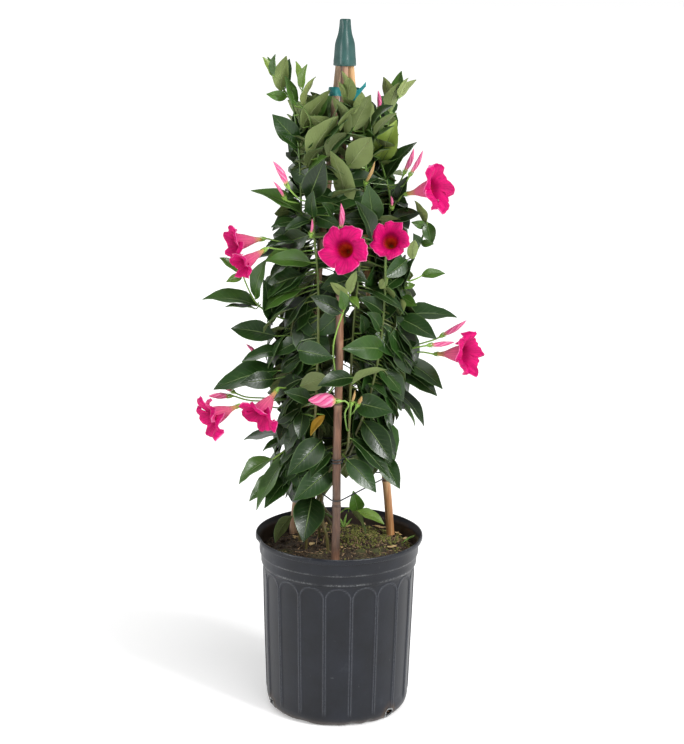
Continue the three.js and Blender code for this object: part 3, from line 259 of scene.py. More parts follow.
class Templates:
    """Plain meshes that are modelled once and copied for every piece of their kind."""

    def __init__(self) -> None:
        """Start with none."""
        self.made: dict[tuple, Piece] = {}

    def sheet(self, columns: int, rows: int) -> Piece:
        """Give a sheet of the unit square, of so many faces across and along, to copy."""
        key = ("sheet", columns, rows)
        if key not in self.made:
            bpy.ops.mesh.primitive_grid_add(x_subdivisions=columns, y_subdivisions=rows, size=1,
                                            location=(0.5, 0.5, 0))
            bpy.ops.object.transform_apply(location=True)
            self.made[key] = bpy.context.object
        return self.made[key]

    def stack(self, sides: int, rings: int) -> Piece:
        """Give a stack of rings of radius one, a unit apart, closed at both ends, to copy.

        Args:
            sides: Vertices of a ring.
            rings: Rings of the stack.

        Returns:
            The template, with its turn and its rings as UV map.
        """
        key = ("stack", sides, rings)
        if key not in self.made:
            bpy.ops.mesh.primitive_circle_add(vertices=sides, radius=1, fill_type="NGON")
            piece = bpy.context.object

            def extrude() -> None:
                """Raise the face ring by ring."""
                for _ in range(rings - 1):
                    bpy.ops.mesh.extrude_region_move(TRANSFORM_OT_translate={"value": (0, 0, 1)})

            edit(piece, extrude)
            edit(piece, face_outwards)
            self.unroll(piece, rings)
            self.made[key] = piece
        return self.made[key]

    @staticmethod
    def unroll(piece: Piece, rings: int) -> None:
        """Give a stack of rings its UV map: the turn across, the rings along."""
        mesh = piece.data
        points = points_of(piece)
        corners = np.empty(len(mesh.loops), dtype=np.int32)
        mesh.loops.foreach_get("vertex_index", corners)
        starts = np.array([face.loop_start for face in mesh.polygons])
        counts = np.array([face.loop_total for face in mesh.polygons])
        turn = (np.arctan2(points[:, 1], points[:, 0]) / TURN % 1)[corners]
        # A face across the seam has its corners on one side of it.
        highest = np.repeat(np.maximum.reduceat(turn, starts), counts)
        turn = np.where(highest - turn > 0.5, turn + 1, turn)
        along = points[corners, 2] / max(1, rings - 1)
        layer = mesh.uv_layers[0] if mesh.uv_layers else mesh.uv_layers.new(name="UVMap")
        layer.data.foreach_set("uv", np.column_stack([turn, along]).astype(np.float32).ravel())

    def clear(self) -> None:
        """Remove the templates from the scene."""
        for template in self.made.values():
            mesh = template.data
            bpy.data.objects.remove(template)
            bpy.data.meshes.remove(mesh)
        self.made.clear()


TEMPLATES = Templates()


def laid_sheet(name: str, columns: int, rows: int, place: Place, thick: float = 0) -> Piece:
    """Lay a sheet of faces by rule.

    Args:
        name: The piece's name.
        columns: Faces across.
        rows: Faces along.
        place: Gives the places in millimetres for shares across and along.
        thick: Its thickness in millimetres, or 0 to leave it open.

    Returns:
        The piece.
    """
    piece = copy_of(TEMPLATES.sheet(columns, rows), name)
    across, along, _ = points_of(piece).T
    place_points(piece, place(across, along) * MM)
    if thick:
        apply_modifier(piece, "SOLIDIFY", thickness=thick * MM, offset=0)
    return piece


def turned(name: str, columns: int, rows: int, place: Place, crease: float = 40) -> Piece:
    """Turn a closed piece round an axis by rule.

    Args:
        name: The piece's name.
        columns: Vertices round the axis.
        rows: Rings along the profile.
        place: Gives the places in millimetres for shares of the turn, and for the rings' numbers.
        crease: Edges flatter than this are shaded smooth, in degrees.

    Returns:
        The closed piece.
    """
    piece = copy_of(TEMPLATES.stack(columns, rows), name)
    x, y, rings = points_of(piece).T
    place_points(piece, place(np.arctan2(y, x) / TURN % 1, np.rint(rings).astype(int)) * MM)
    edit(piece, merge, face_outwards)
    return soften(piece, crease)


def tube_along(name: str, path: Rows, radii: Rows | float, sides: int = 6, tone: Any = None) -> Piece:
    """Carry a round section along a path.

    Args:
        name: The piece's name.
        path: The middle of each ring, in millimetres.
        radii: The radius at each ring, or one for all.
        sides: Vertices of a ring.
        tone: How fresh a green tube is, at each ring or for all, from 0 to 1.

    Returns:
        The closed tube.
    """
    rings = len(path)
    piece = copy_of(TEMPLATES.stack(sides, rings), name)
    flat = points_of(piece)
    ring = np.rint(flat[:, 2]).astype(int)
    along = unit(np.gradient(path, axis=0))
    side = np.cross(along[0], (0, 0, 1) if abs(along[0][2]) < 0.8 else (0, 1, 0))
    across = np.empty_like(path)
    for number, way in enumerate(along):
        side = unit(side - way * side.dot(way))
        across[number] = side
    up = np.cross(along[ring], across[ring])
    out = across[ring] * flat[:, :1] + up * flat[:, 1:2]
    if tone is not None:
        note(piece, tone=np.broadcast_to(tone, rings)[ring])
    return place_points(piece, (path[ring] + np.broadcast_to(radii, rings)[ring][:, None] * out) * MM)


def deliver(piece: Piece, nodes: Sequence[str], slot: str, *finishes: Material) -> None:
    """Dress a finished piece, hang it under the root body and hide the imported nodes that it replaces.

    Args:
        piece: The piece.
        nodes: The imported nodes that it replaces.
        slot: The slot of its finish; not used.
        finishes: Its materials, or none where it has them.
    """
    for finish in finishes:
        piece.data.materials.append(finish)
    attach(piece, "root")
    if nodes:
        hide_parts(*nodes)
    log.info("%s: %d faces", piece.name, len(piece.data.polygons))


# The plant's habit, as it is laid out in the front view


class Draws:
    """The seeded draws by which the plant was grown."""

    stride: int = 0x6D2B79F5
    whole: int = 0xFFFFFFFF

    def __init__(self, seed: int) -> None:
        """Start from the seed."""
        self.state = seed

    def __call__(self) -> float:
        """Give the next draw, from 0 to 1."""
        self.state = (self.state + self.stride) & self.whole
        mixed = (self.state ^ (self.state >> 15)) * (self.state | 1) & self.whole
        mixed ^= (mixed + ((mixed ^ (mixed >> 7)) * (mixed | 61) & self.whole)) & self.whole
        return (mixed ^ (mixed >> 14)) / (self.whole + 1)


@dataclass(frozen=True)
class FrontView:
    """The view from which the plant's habit is laid out, in picture units and millimetres."""

    focal: float = 1600.0
    column: float = 342.0
    row: float = 372.0
    eye: Triple = (1.6, -2303.0, 1050.0)
    pitch: float = math.radians(13)
    roll: float = math.radians(0.72)

    def seen(self, column: float, row: float, depth: float) -> Rows:
        """Give the place that is seen at a column and row, so many millimetres behind the pot's middle."""
        u, v = column - self.column, row - self.row
        across = u * math.cos(self.roll) + v * math.sin(self.roll)
        down = v * math.cos(self.roll) - u * math.sin(self.roll)
        forward = self.focal * math.cos(self.pitch) - down * math.sin(self.pitch)
        drop = self.focal * math.sin(self.pitch) + down * math.cos(self.pitch)
        reach = (depth - self.eye[1]) / forward
        return np.array((self.eye[0] + across * reach, depth, self.eye[2] - drop * reach))

    def pictured(self, point: Rows) -> Pair:
        """Give the column and row at which a place is seen."""
        reach, rise = point[1] - self.eye[1], point[2] - self.eye[2]
        scale = self.focal / (reach * math.cos(self.pitch) - rise * math.sin(self.pitch))
        across = scale * (point[0] - self.eye[0])
        down = -scale * (reach * math.sin(self.pitch) + rise * math.cos(self.pitch))
        return (self.column + across * math.cos(self.roll) - down * math.sin(self.roll),
                self.row + down * math.cos(self.roll) + across * math.sin(self.roll))


VIEW = FrontView()


class Course:
    """A smooth curve through points."""

    marks: Rows = np.linspace(0, 1, 201)

    def __init__(self, points: Sequence[Sequence[float]]) -> None:
        """Take the points that it passes."""
        inner = np.array(points, dtype=float)
        self.last = len(inner) - 1
        self.points = np.vstack([2 * inner[0] - inner[1], inner, 2 * inner[-1] - inner[-2]])
        steps = np.linalg.norm(np.diff(self.at(self.marks), axis=0), axis=1)
        self.lengths = np.concatenate([[0], np.cumsum(steps)])

    def at(self, shares: Rows) -> Rows:
        """Give the places at shares of its course."""
        place = np.asarray(shares) * self.last
        span = np.minimum(np.floor(place), self.last - 1).astype(int)
        w = (place - span)[:, None]
        a, b, c, d = (self.points[span + k] for k in range(4))
        start, end = (c - a) / 2, (d - b) / 2
        bend = 3 * (c - b) - 2 * start - end
        return b + start * w + bend * w ** 2 + (2 * (b - c) + start + end) * w ** 3

    def spaced(self, parts: int) -> Rows:
        """Give the ends of equal parts of its length."""
        return self.at(np.interp(np.linspace(0, self.lengths[-1], parts + 1), self.lengths, self.marks))

    def stepped(self, step: float) -> Rows:
        """Give places along it, at most a step apart."""
        return self.spaced(max(1, math.ceil(self.lengths[-1] / step)))

    def sampled(self, step: float = 42, parts: int = 9) -> Rows:
        """Give so many places to each of its straight runs, which are at most a step long."""
        corners = self.stepped(step)
        marks = np.arange(0, len(corners) - 1 + 0.5 / parts, 1 / parts)
        return np.column_stack([np.interp(marks, np.arange(len(corners)), corners[:, k]) for k in range(3)])


@dataclass(frozen=True)
class Stem:
    """A climbing stem: its root in the soil, and its course by column, row and depth."""

    root: Pair
    course: tuple[Triple, ...]
    buried: float = 214.0
    soil: float = 248.0
    lean_height: float = 272
    lean_share: float = 0.18

    def points(self) -> list[Rows]:
        """Give the points of its course, from the root up."""
        places = [VIEW.seen(*place) for place in self.course]
        foot = np.array((*self.root, self.soil))
        lean = foot + (places[0] - foot) * self.lean_share
        lean[2] = self.lean_height
        return [np.array((*self.root, self.buried)), foot, lean, *places]


@dataclass(frozen=True)
class Flower:
    """A flower's stalk, its tube from foot to mouth, its radius, and its lobes' opening and turn."""

    name: str
    vine: str
    by: tuple[Triple, ...]
    foot: Triple
    mouth: Triple
    radius: float
    open: float
    turn: float


@dataclass(frozen=True)
class Bud:
    """A bud's stalk, its foot and tip, and its greatest width."""

    name: str
    vine: str
    by: tuple[Triple, ...]
    foot: Triple
    tip: Triple
    width: float


UNDER = "under"
# The leaves that the front view shows, from the top down: base and tip by column, row and depth,
# and the width across, and which of them turn their undersides to the front.
SHOWN_LEAVES = (
    (281, 92, -12, 287, 56, -24, 16, UNDER), (284, 90, -6, 290, 59, 6, 11), (272, 76, -6, 262, 57, -8, 7),
    (273, 75, -4, 267, 57, 4, 6), (274, 76, -8, 276, 54, -14, 7), (287, 97, -12, 266, 94, -20, 11),
    (300, 88, -18, 295, 61, -22, 8), (303, 89, -18, 308, 64, -24, 8),
    (304, 107, -22, 317, 77, -34, 11, UNDER), (295, 106, -14, 284, 76, -4, 10),
    (302, 128, -24, 331, 91, -44, 15, UNDER), (314, 122, -26, 328, 94, -12, 14),
    (310, 160, -36, 339, 117, -64, 22, UNDER), (298, 142, -18, 272, 114, -26, 22),
    (298, 148, -20, 277, 133, -38, 10), (347, 105, -32, 350, 78, -52, 16, UNDER),
    (345, 92, -30, 341, 71, -28, 6, UNDER), (344, 96, -30, 338, 82, -36, 5, UNDER),
    (345, 137, -44, 331, 97, -60, 14, UNDER), (353, 131, -44, 371, 95, -56, 20, UNDER),
    (366, 158, -34, 370, 104, -22, 16), (348, 168, -48, 371, 138, -84, 28, UNDER),
    (356, 140, -30, 368, 118, -16, 14), (389, 104, 16, 383, 77, 10, 12, UNDER),
    (396, 99, 18, 402, 71, 26, 12), (390, 113, 14, 400, 83, -4, 13, UNDER),
    (399, 97, 13, 409, 78, 6, 8, UNDER), (400, 98, 16, 417, 80, 20, 8, UNDER),
    (379, 160, -10, 397, 119, -32, 25), (385, 181, -20, 418, 143, -8, 13),
    (398, 201, -26, 408, 176, -30, 12), (374, 222, -42, 368, 183, -72, 24),
    (391, 221, -38, 420, 214, -20, 14), (372, 240, -46, 354, 201, -66, 15),
    (425, 224, 0, 414, 201, -6, 8, UNDER), (425, 226, -1, 411, 222, -12, 9),
    (427, 222, 1, 432, 245, -4, 14), (421, 243, -2, 434, 244, -12, 8), (420, 244, -4, 413, 233, -18, 10),
    (413, 260, -6, 415, 240, -24, 9, UNDER), (404, 290, -8, 416, 258, -22, 10),
    (421, 276, -8, 445, 274, -2, 10), (403, 288, -4, 415, 285, 8, 7), (302, 214, -24, 250, 192, -14, 14),
    (309, 198, -42, 325, 158, -68, 26), (313, 217, -46, 314, 190, -68, 13),
    (332, 216, -58, 321, 203, -84, 10), (346, 208, -42, 329, 151, -60, 13, UNDER),
    (298, 222, -26, 271, 228, -32, 9), (310, 220, -46, 285, 231, -66, 10),
    (257, 306, -12, 202, 301, -6, 15), (256, 299, -12, 268, 259, -34, 15),
    (256, 309, -13, 225, 308, -38, 9), (273, 322, -20, 262, 279, -42, 19), (275, 336, -16, 231, 329, 0, 22),
    (300, 254, -26, 254, 260, -20, 10), (311, 263, -50, 266, 262, -56, 18),
    (241, 272, -8, 219, 258, -12, 10), (242, 276, -9, 226, 282, -22, 9),
    (242, 276, -9, 236, 252, -14, 9, UNDER), (347, 299, -79, 330, 283, -92, 10, UNDER),
    (350, 294, -80, 357, 271, -86, 10, UNDER), (345, 309, -79, 340, 290, -100, 12),
    (349, 297, -80, 359, 309, -98, 9), (342, 313, -79, 310, 296, -86, 18),
    (402, 297, -8, 417, 306, -26, 12), (400, 317, -6, 457, 319, 8, 16), (399, 318, -8, 437, 340, -36, 21),
    (397, 322, -4, 420, 336, -8, 9), (385, 349, -4, 418, 343, -34, 27), (403, 361, -6, 442, 390, -14, 18),
    (398, 369, -4, 437, 397, -32, 21), (394, 390, 2, 423, 427, -10, 12), (388, 397, 6, 414, 427, 12, 6),
    (352, 384, -62, 388, 371, -68, 8, UNDER), (368, 384, -48, 387, 398, -68, 7),
    (355, 402, -50, 394, 412, -76, 25), (364, 333, -50, 360, 314, -74, 11),
    (384, 349, -50, 341, 349, -92, 26), (392, 300, -38, 387, 287, -54, 7, UNDER),
    (400, 299, -10, 401, 314, -32, 7, UNDER), (388, 279, -38, 380, 288, -60, 9, UNDER),
    (382, 312, -48, 358, 298, -76, 16), (380, 330, -52, 366, 312, -84, 13),
    (299, 350, -58, 334, 358, -88, 25), (300, 386, -50, 326, 377, -80, 20, UNDER),
    (353, 378, -66, 317, 387, -94, 14), (311, 400, -54, 283, 392, -76, 16),
    (282, 352, -14, 242, 363, -10, 13), (278, 371, -12, 214, 391, -4, 16),
    (274, 379, -14, 239, 384, -40, 19), (290, 441, -8, 263, 452, -8, 8), (288, 432, -6, 244, 441, 6, 11),
    (272, 459, -24, 240, 485, -16, 14), (287, 456, -12, 258, 511, -22, 14),
    (292, 474, -10, 265, 509, -40, 18), (280, 474, 2, 250, 502, 0, 9), (322, 440, -48, 287, 476, -86, 28),
    (303, 414, -46, 299, 440, -74, 17), (331, 452, -52, 311, 479, -80, 15),
    (332, 468, -50, 293, 501, -82, 27), (312, 497, -30, 303, 543, -84, 33),
    (292, 516, -6, 276, 543, -40, 12, UNDER), (325, 415, -54, 311, 436, -66, 8),
    (363, 421, -48, 392, 463, -70, 25), (352, 439, -64, 389, 480, -88, 23),
    (382, 456, -22, 400, 489, -44, 20), (347, 460, -60, 376, 493, -78, 23),
    (346, 463, -66, 366, 489, -90, 8), (358, 510, -8, 353, 490, -26, 16),
    (349, 508, -8, 365, 534, -28, 9, UNDER), (357, 511, -8, 384, 525, -16, 10),
)
STEMS = {
    "vine_left": Stem((-60, 26), (
        (298, 506, 24), (291, 480, 12), (290, 450, 0), (292, 400, -10), (290, 350, -15),
        (296, 300, -20), (300, 250, -25), (301, 200, -20), (299, 150, -15), (293, 107, -10),
        (284, 90, -8), (273, 75, -5))),
    "vine_left_front": Stem((-49, -14), (
        (308, 500, -16), (313, 450, -40), (316, 400, -55), (318, 340, -55), (318, 280, -50),
        (314, 225, -45), (318, 170, -40), (316, 125, -30), (311, 103, -25))),
    "vine_left_back": Stem((-30, 36), (
        (314, 500, 40), (318, 440, 45), (322, 380, 50), (320, 300, 50), (318, 230, 46), (322, 160, 40),
        (326, 112, 32))),
    "vine_front": Stem((-16, -27), (
        (320, 505, -27), (330, 470, -58), (346, 452, -62), (349, 430, -66), (350, 400, -62),
        (352, 350, -50), (356, 300, -46), (361, 250, -42), (364, 200, -40), (366, 155, -35),
        (361, 112, -25))),
    "vine_right": Stem((-4, 14), (
        (321, 500, 12), (345, 462, 12), (368, 412, 6), (384, 362, 0), (394, 320, -5), (399, 298, -5),
        (404, 280, -5), (411, 262, -5), (419, 246, -3), (424, 233, 0), (427, 222, 0))),
    "vine_right_back": Stem((-2, 46), (
        (322, 498, 43), (345, 450, 44), (362, 400, 47), (372, 340, 50), (377, 280, 45), (379, 220, 40),
        (384, 160, 30), (389, 118, 20), (398, 98, 15))),
    "vine_back": Stem((-24, 60), (
        (318, 498, 62), (330, 440, 72), (340, 380, 76), (344, 300, 72), (346, 230, 65), (348, 165, 50),
        (350, 124, 40))),
    "vine_right_front": Stem((-17, -5), (
        (316, 503, -4), (340, 462, -26), (362, 420, -45), (376, 370, -50), (384, 310, -45),
        (386, 250, -38), (390, 200, -25), (382, 165, -16), (376, 140, -10))),
}
# The side shoots, each with the vine that carries it.
SHOOTS = (
    ("vine_left", ((303, 112, -20), (302, 90, -18))),
    ("vine_left", ((281, 318, -18), (268, 312, -15), (256, 303, -12), (247, 286, -10), (241, 270, -8))),
    ("vine_left", ((284, 451, -16), (273, 459, -22))),
    ("vine_right", ((334, 517, -2), (347, 508, -6), (356, 510, -7))),
    ("vine_left_front", ((326, 396, -62), (335, 380, -68), (333, 350, -74), (337, 330, -76), (343, 313, -77),
                         (349, 294, -78))),
    ("vine_front", ((345, 112, -34), (345, 95, -30))),
    ("vine_right", ((410, 281, -8), (420, 277, -8))),
)
FLOWERS = (
    Flower("flower_centre", "vine_front", ((354, 256, -50),), (349, 252, -56), (344, 249, -98), 41, 78, 20),
    Flower("flower_right_centre", "vine_right_front", (), (392, 247, -52), (390, 241, -84), 32, 60, 50),
    Flower("flower_top_right", "vine_right_front", ((395, 204, -30),), (407, 194, -36), (434, 188, -60),
           43, 70, 10),
    Flower("flower_left_upper", "vine_left", ((282, 242, -30),), (262, 239, -32), (238, 242, -48),
           30, 58, 30),
    Flower("flower_left_lower", "vine_left", ((286, 250, -44),), (264, 250, -62), (246, 262, -82), 24, 50, 0),
    Flower("flower_low_left", "vine_left", ((280, 408, -16), (258, 405, -24)), (238, 406, -30),
           (214, 416, -50), 42, 66, 40),
    Flower("flower_low_left_inner", "vine_left", ((286, 388, -36),), (276, 391, -50), (261, 412, -74),
           37, 60, 15),
    Flower("flower_low_right", "vine_right", ((400, 354, -14), (420, 352, -22)), (437, 354, -26),
           (464, 354, -50), 39, 64, 60),
)
BUDS = (
    Bud("bud_left_top", "vine_left_front", ((301, 200, -52),), (287, 185, -58), (273, 161, -62), 10),
    Bud("bud_left_top_small", "vine_left", ((297, 203, -30),), (284, 197, -34), (273, 181, -36), 5),
    Bud("bud_right_top_a", "vine_right_front", ((398, 184, -22),), (405, 171, -24), (414, 148, -30), 8),
    Bud("bud_right_top_b", "vine_right_front", ((403, 186, -30),), (411, 173, -36), (423, 150, -42), 7),
    Bud("bud_crown", "vine_right_back", ((383, 124, 12),), (379, 109, 6), (378, 90, 2), 7),
    Bud("bud_amber", "vine_front", (), (366, 182, -52), (375, 161, -62), 5),
    Bud("bud_over_flower", "vine_left_front", ((332, 236, -62),), (341, 228, -72), (341, 203, -78), 8),
    Bud("bud_slender", "vine_left_front", (), (311, 233, -62), (312, 219, -70), 4),
    Bud("bud_behind_flower", "vine_right_front", (), (392, 206, -42), (391, 196, -50), 4),
    Bud("bud_low_right_a", "vine_right", ((402, 348, -4), (430, 341, -8)), (443, 335, -10),
        (467, 320, -14), 9),
    Bud("bud_low_right_b", "vine_right", ((402, 349, -26), (418, 347, -40)), (431, 345, -46),
        (455, 342, -50), 8),
    Bud("bud_low_left_a", "vine_left", ((262, 398, -2), (246, 397, 2)), (232, 391, 2), (220, 384, 0), 8),
    Bud("bud_low_left_b", "vine_left", ((264, 401, -14), (247, 400, -12)), (229, 396, -12),
        (208, 396, -14), 10),
    Bud("bud_left_small", "vine_left", ((270, 356, 8),), (256, 354, 12), (246, 344, 12), 6),
    Bud("bud_middle", "vine_front", ((347, 430, -76), (345, 413, -82), (349, 405, -84),
        (345, 401, -85)), (337, 401, -86), (308, 400, -90), 22),
    Bud("bud_middle_small_a", "vine_front", ((350, 418, -74),), (352, 402, -80), (355, 390, -82), 4),
    Bud("bud_middle_small_b", "vine_front", ((352, 414, -68),), (358, 404, -74), (362, 396, -76), 6),
)

# The buds that are still green and amber.
YOUNG_BUDS = ("bud_amber", "bud_middle_small_a", "bud_middle_small_b")

# The mass of foliage behind them: its left and right edge in the front view, by row.
FOLIAGE_EDGES = np.array((
    (92, 286, 396), (120, 284, 400), (150, 288, 402), (180, 290, 404), (200, 282, 408), (215, 274, 410),
    (250, 262, 410), (275, 260, 404), (300, 262, 404), (330, 264, 412), (360, 260, 416), (380, 260, 420),
    (400, 270, 416), (420, 276, 398), (440, 278, 392), (470, 272, 396), (488, 272, 330), (504, 288, 320)))


@dataclass
class LeafPlace:
    """Where a leaf stands, and its form, in millimetres."""

    vine: str
    stem: Rows
    base: Rows
    tip: Rows
    normal: Rows
    width: float
    fold: float
    arch: float
    inner: bool = False
    tone: float = 0.4
    wilt: float = 0.0

    @property
    def length(self) -> float:
        """The blade's length."""
        return float(np.linalg.norm(self.tip - self.base))

    def axes(self) -> tuple[Rows, Rows, Rows]:
        """Give its ways along, sideways and up."""
        along = unit(self.tip - self.base)
        side = unit(np.cross(along, self.normal))
        return along, side, np.cross(side, along)

    def midrib(self, share: Rows) -> Rows:
        """Give places along the midrib, which arches up."""
        along, _, up = self.axes()
        share = np.asarray(share)[:, None]
        rise = up * self.arch * self.length * 4 * share * (1 - share)
        return self.base + along * share * self.length + rise


# A blade's outline: how far its widest place lies to its base, how full it is, how it narrows to the tip.
BLADE_SKEW = 0.82
BLADE_FULLNESS = 0.85
BLADE_TAPER = 0.16


def blade_half(share: Rows) -> Rows:
    """Give a blade's half width by the share of its length, about 1 at its widest."""
    share = np.clip(share, 0, 1)
    return np.sin(math.pi * share ** BLADE_SKEW).clip(0) ** BLADE_FULLNESS * (1 - BLADE_TAPER * share)


def heading_way(heading: float, climb: float) -> Rows:
    """Give the way with this heading and climb, in radians."""
    level = math.cos(climb)
    return np.array((math.cos(heading) * level, math.sin(heading) * level, math.sin(climb)))


def nearest(places: Rows, point: Rows) -> Rows:
    """Give the nearest of some places to a point."""
    return places[np.argmin(((places - point) ** 2).sum(axis=1))]


@dataclass
class Habit:
    """The courses of the stems and shoots, and the places of the leaves."""

    # How a leaf of the list was moved, turned and shortened where it needed room.
    room_shifts: Numbers = (0, -7, 7, -14, 14, -22, 22)
    room_turns: Numbers = (0, 18, -18)
    room_lengths: Numbers = (1, 0.86, 0.72)
    proportion: float = 0.5
    # The least fold and arch of a leaf, and how much more they may be.
    folds: Pair = (0.1, 0.22)
    arches: Pair = (0.05, 0.08)
    # Where a packed blade's edge has its corners, for blades up to a length.
    stations: tuple[tuple[float, Numbers], ...] = (
        (47, (0.24, 0.6)), (62, (0.14, 0.42, 0.74)), (math.inf, (0.1, 0.3, 0.56, 0.8)))
    edge_fullness: float = 1.07
    edge_reach: float = 0.08
    # The pairs of leaves up each stem: where they stand, how they climb and lie, and their size.
    inner_sweeps: Numbers = (0, 32, -32, 64, -64)
    inner_turns: Numbers = (0, 20, -20)
    inner_lengths: Numbers = (1, 0.84, 0.68)
    first_pair: float = 330
    last_pair: float = 948
    spacing: float = 62
    quarters: Pairs = ((62, -62), (0, 180))
    low_droop: float = -55
    climb_gain: float = 120
    climb_range: float = 26
    heading_range: float = 40
    roll_range: float = 50
    pair_lengths: Pair = (44, 22)
    high_loss: float = 0.35
    pair_stalk: float = 6
    pair_proportion: float = 0.56
    pair_folds: Pair = (0.1, 0.2)
    pair_arch: float = 0.1
    courses: dict[str, list[tuple[Course, bool]]] = field(default_factory=dict)
    places: dict[str, Rows] = field(default_factory=dict)
    leaves: list[LeafPlace] = field(default_factory=list)

    def grow(self) -> None:
        """Lay out the stems and shoots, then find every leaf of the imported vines."""
        for name, stem in STEMS.items():
            course = Course(stem.points())
            self.courses[name] = [(course, True)]
            self.places[name] = course.sampled()
        for vine, course in SHOOTS:
            places = [VIEW.seen(*place) for place in course]
            shoot = Course([nearest(self.places[vine], places[0]), *places])
            self.courses[vine].append((shoot, False))
            self.places[vine] = np.vstack([self.places[vine], shoot.sampled()])
        corners = np.vstack([points_of(bpy.data.objects[name]) for name in STEMS]) / MM
        self.corners = KDTree(len(corners))
        for corner in corners:
            self.corners.insert(Vector(corner), 0)
        self.corners.balance()
        draws = Draws(SEED)
        for number, row in enumerate(SHOWN_LEAVES):
            if not self.keep_best(self.shown(row, draws)):
                log.warning("leaf %d of the list isn't on its vine", number)
        for vine in STEMS:
            self.find_pairs(vine, draws)

    def meets(self, point: Rows, reach: float = 0.06) -> bool:
        """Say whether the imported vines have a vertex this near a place."""
        return self.corners.find(Vector(point))[2] <= reach

    def keep_best(self, tries: Iterator[LeafPlace]) -> bool:
        """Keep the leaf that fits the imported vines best, and say whether there is one."""
        best = max(tries, key=self.fit, default=None)
        if best:
            self.leaves.append(best)
        return best is not None

    def fit(self, leaf: LeafPlace) -> float:
        """Say which share of a leaf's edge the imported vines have."""
        _, side, up = leaf.axes()
        length = 0 if leaf.inner else leaf.length
        met = []
        for share, way in product(next(shares for most, shares in self.stations if length <= most), (-1, 1)):
            half = leaf.width / 2 * blade_half(np.array([share]))[0] * self.edge_fullness
            corner = leaf.midrib([share])[0] + side * half * way + up * half * leaf.fold
            met.append(self.meets(corner, self.edge_reach))
        return sum(met) / len(met)

    def facing(self, base: Rows, tip: Rows, seen_width: float, under: bool,
               turn: float) -> tuple[Rows, float]:
        """Turn a leaf to the front as far as its seen width asks, and for the rest upwards.

        Args:
            base: The blade's base.
            tip: Its tip.
            seen_width: Its width in the front view.
            under: Whether its underside is to the front.
            turn: A turn about its own length, in degrees.

        Returns:
            The way that its upper face looks, and its width.
        """
        axis = unit(tip - base)
        sight = np.array(VIEW.eye) - (base + tip) / 2
        across_seen = seen_width * float(np.linalg.norm(sight)) / VIEW.focal
        sight = unit(sight - axis * sight.dot(axis))
        across = np.cross(axis, sight)
        width = max(self.proportion * float(np.linalg.norm(tip - base)), across_seen)
        tilt = math.acos(min(1.0, across_seen / width)) + math.radians(turn)
        normal = sight * (-1 if under else 1) * math.cos(tilt)
        return unit(normal + across * (1 if across[2] >= 0 else -1) * math.sin(tilt)), width

    def shown(self, row: tuple, draws: Draws) -> Iterator[LeafPlace]:
        """Give the ways in which a leaf of the list may have found room."""
        fold, arch = (least + more * draws() for least, more in (self.folds, self.arches))
        for length, shift in product(self.room_lengths, self.room_shifts):
            base = VIEW.seen(row[0], row[1], row[2] + shift)
            tip = base + (VIEW.seen(row[3], row[4], row[5] + shift) - base) * length
            if self.meets(tip):
                vine = min(self.places, key=lambda one: math.dist(nearest(self.places[one], base), base))
                stem = nearest(self.places[vine], base)
                for turn in self.room_turns:
                    normal, width = self.facing(base, tip, row[6], UNDER in row, turn)
                    yield LeafPlace(vine, stem, base, tip, normal, width, fold, arch)

    def find_pairs(self, vine: str, draws: Draws) -> None:
        """Find the leaves of the inner pairs that a vine carries."""
        places = self.courses[vine][0][0].sampled()
        since, pair = 0.0, 0
        for before, here in zip(places, places[1:]):
            since += float(np.linalg.norm(here - before))
            if self.first_pair <= here[2] <= self.last_pair and since >= self.spacing:
                since, pair = 0.0, pair + 1
                for quarter in self.quarters[pair % 2]:
                    self.keep_best(self.paired(vine, here, quarter, [draws() for _ in range(5)]))

    def paired(self, vine: str, here: Rows, quarter: float, draw: list[float]) -> Iterator[LeafPlace]:
        """Give the ways in which one leaf of a pair may have found room.

        Args:
            vine: The vine.
            here: Its place on the stem.
            quarter: How far round from the stem's outer side, in degrees.
            draw: Its seeded draws.

        Yields:
            The leaf, tried out.
        """
        share = (here[2] - self.first_pair) / (self.last_pair - self.first_pair)
        steep = self.low_droop + self.climb_gain * share ** 2 + (draw[1] - 0.5) * self.climb_range
        climb = math.radians(steep)
        shortest, more = self.pair_lengths
        whole = shortest + more * draw[2] * (1 - self.high_loss * share)
        fold = self.pair_folds[0] + self.pair_folds[1] * draw[4]
        for part, sweep in product(self.inner_lengths, self.inner_sweeps):
            off = math.radians(quarter + sweep + (draw[0] - 0.5) * self.heading_range)
            way = heading_way(math.atan2(here[1], here[0]) + off, climb)
            base = here + way * self.pair_stalk
            tip = base + way * whole * part
            for turn in self.inner_turns if self.meets(tip) else ():
                roll = math.radians((draw[3] - 0.5) * self.roll_range + turn)
                level = unit(np.array((0, 0, 1.0)) - way * way[2])
                normal = level * math.cos(roll) + np.cross(way, level) * math.sin(roll)
                yield LeafPlace(vine, here, base, tip, normal, whole * part * self.pair_proportion, fold,
                                self.pair_arch, inner=True)


# Finishes


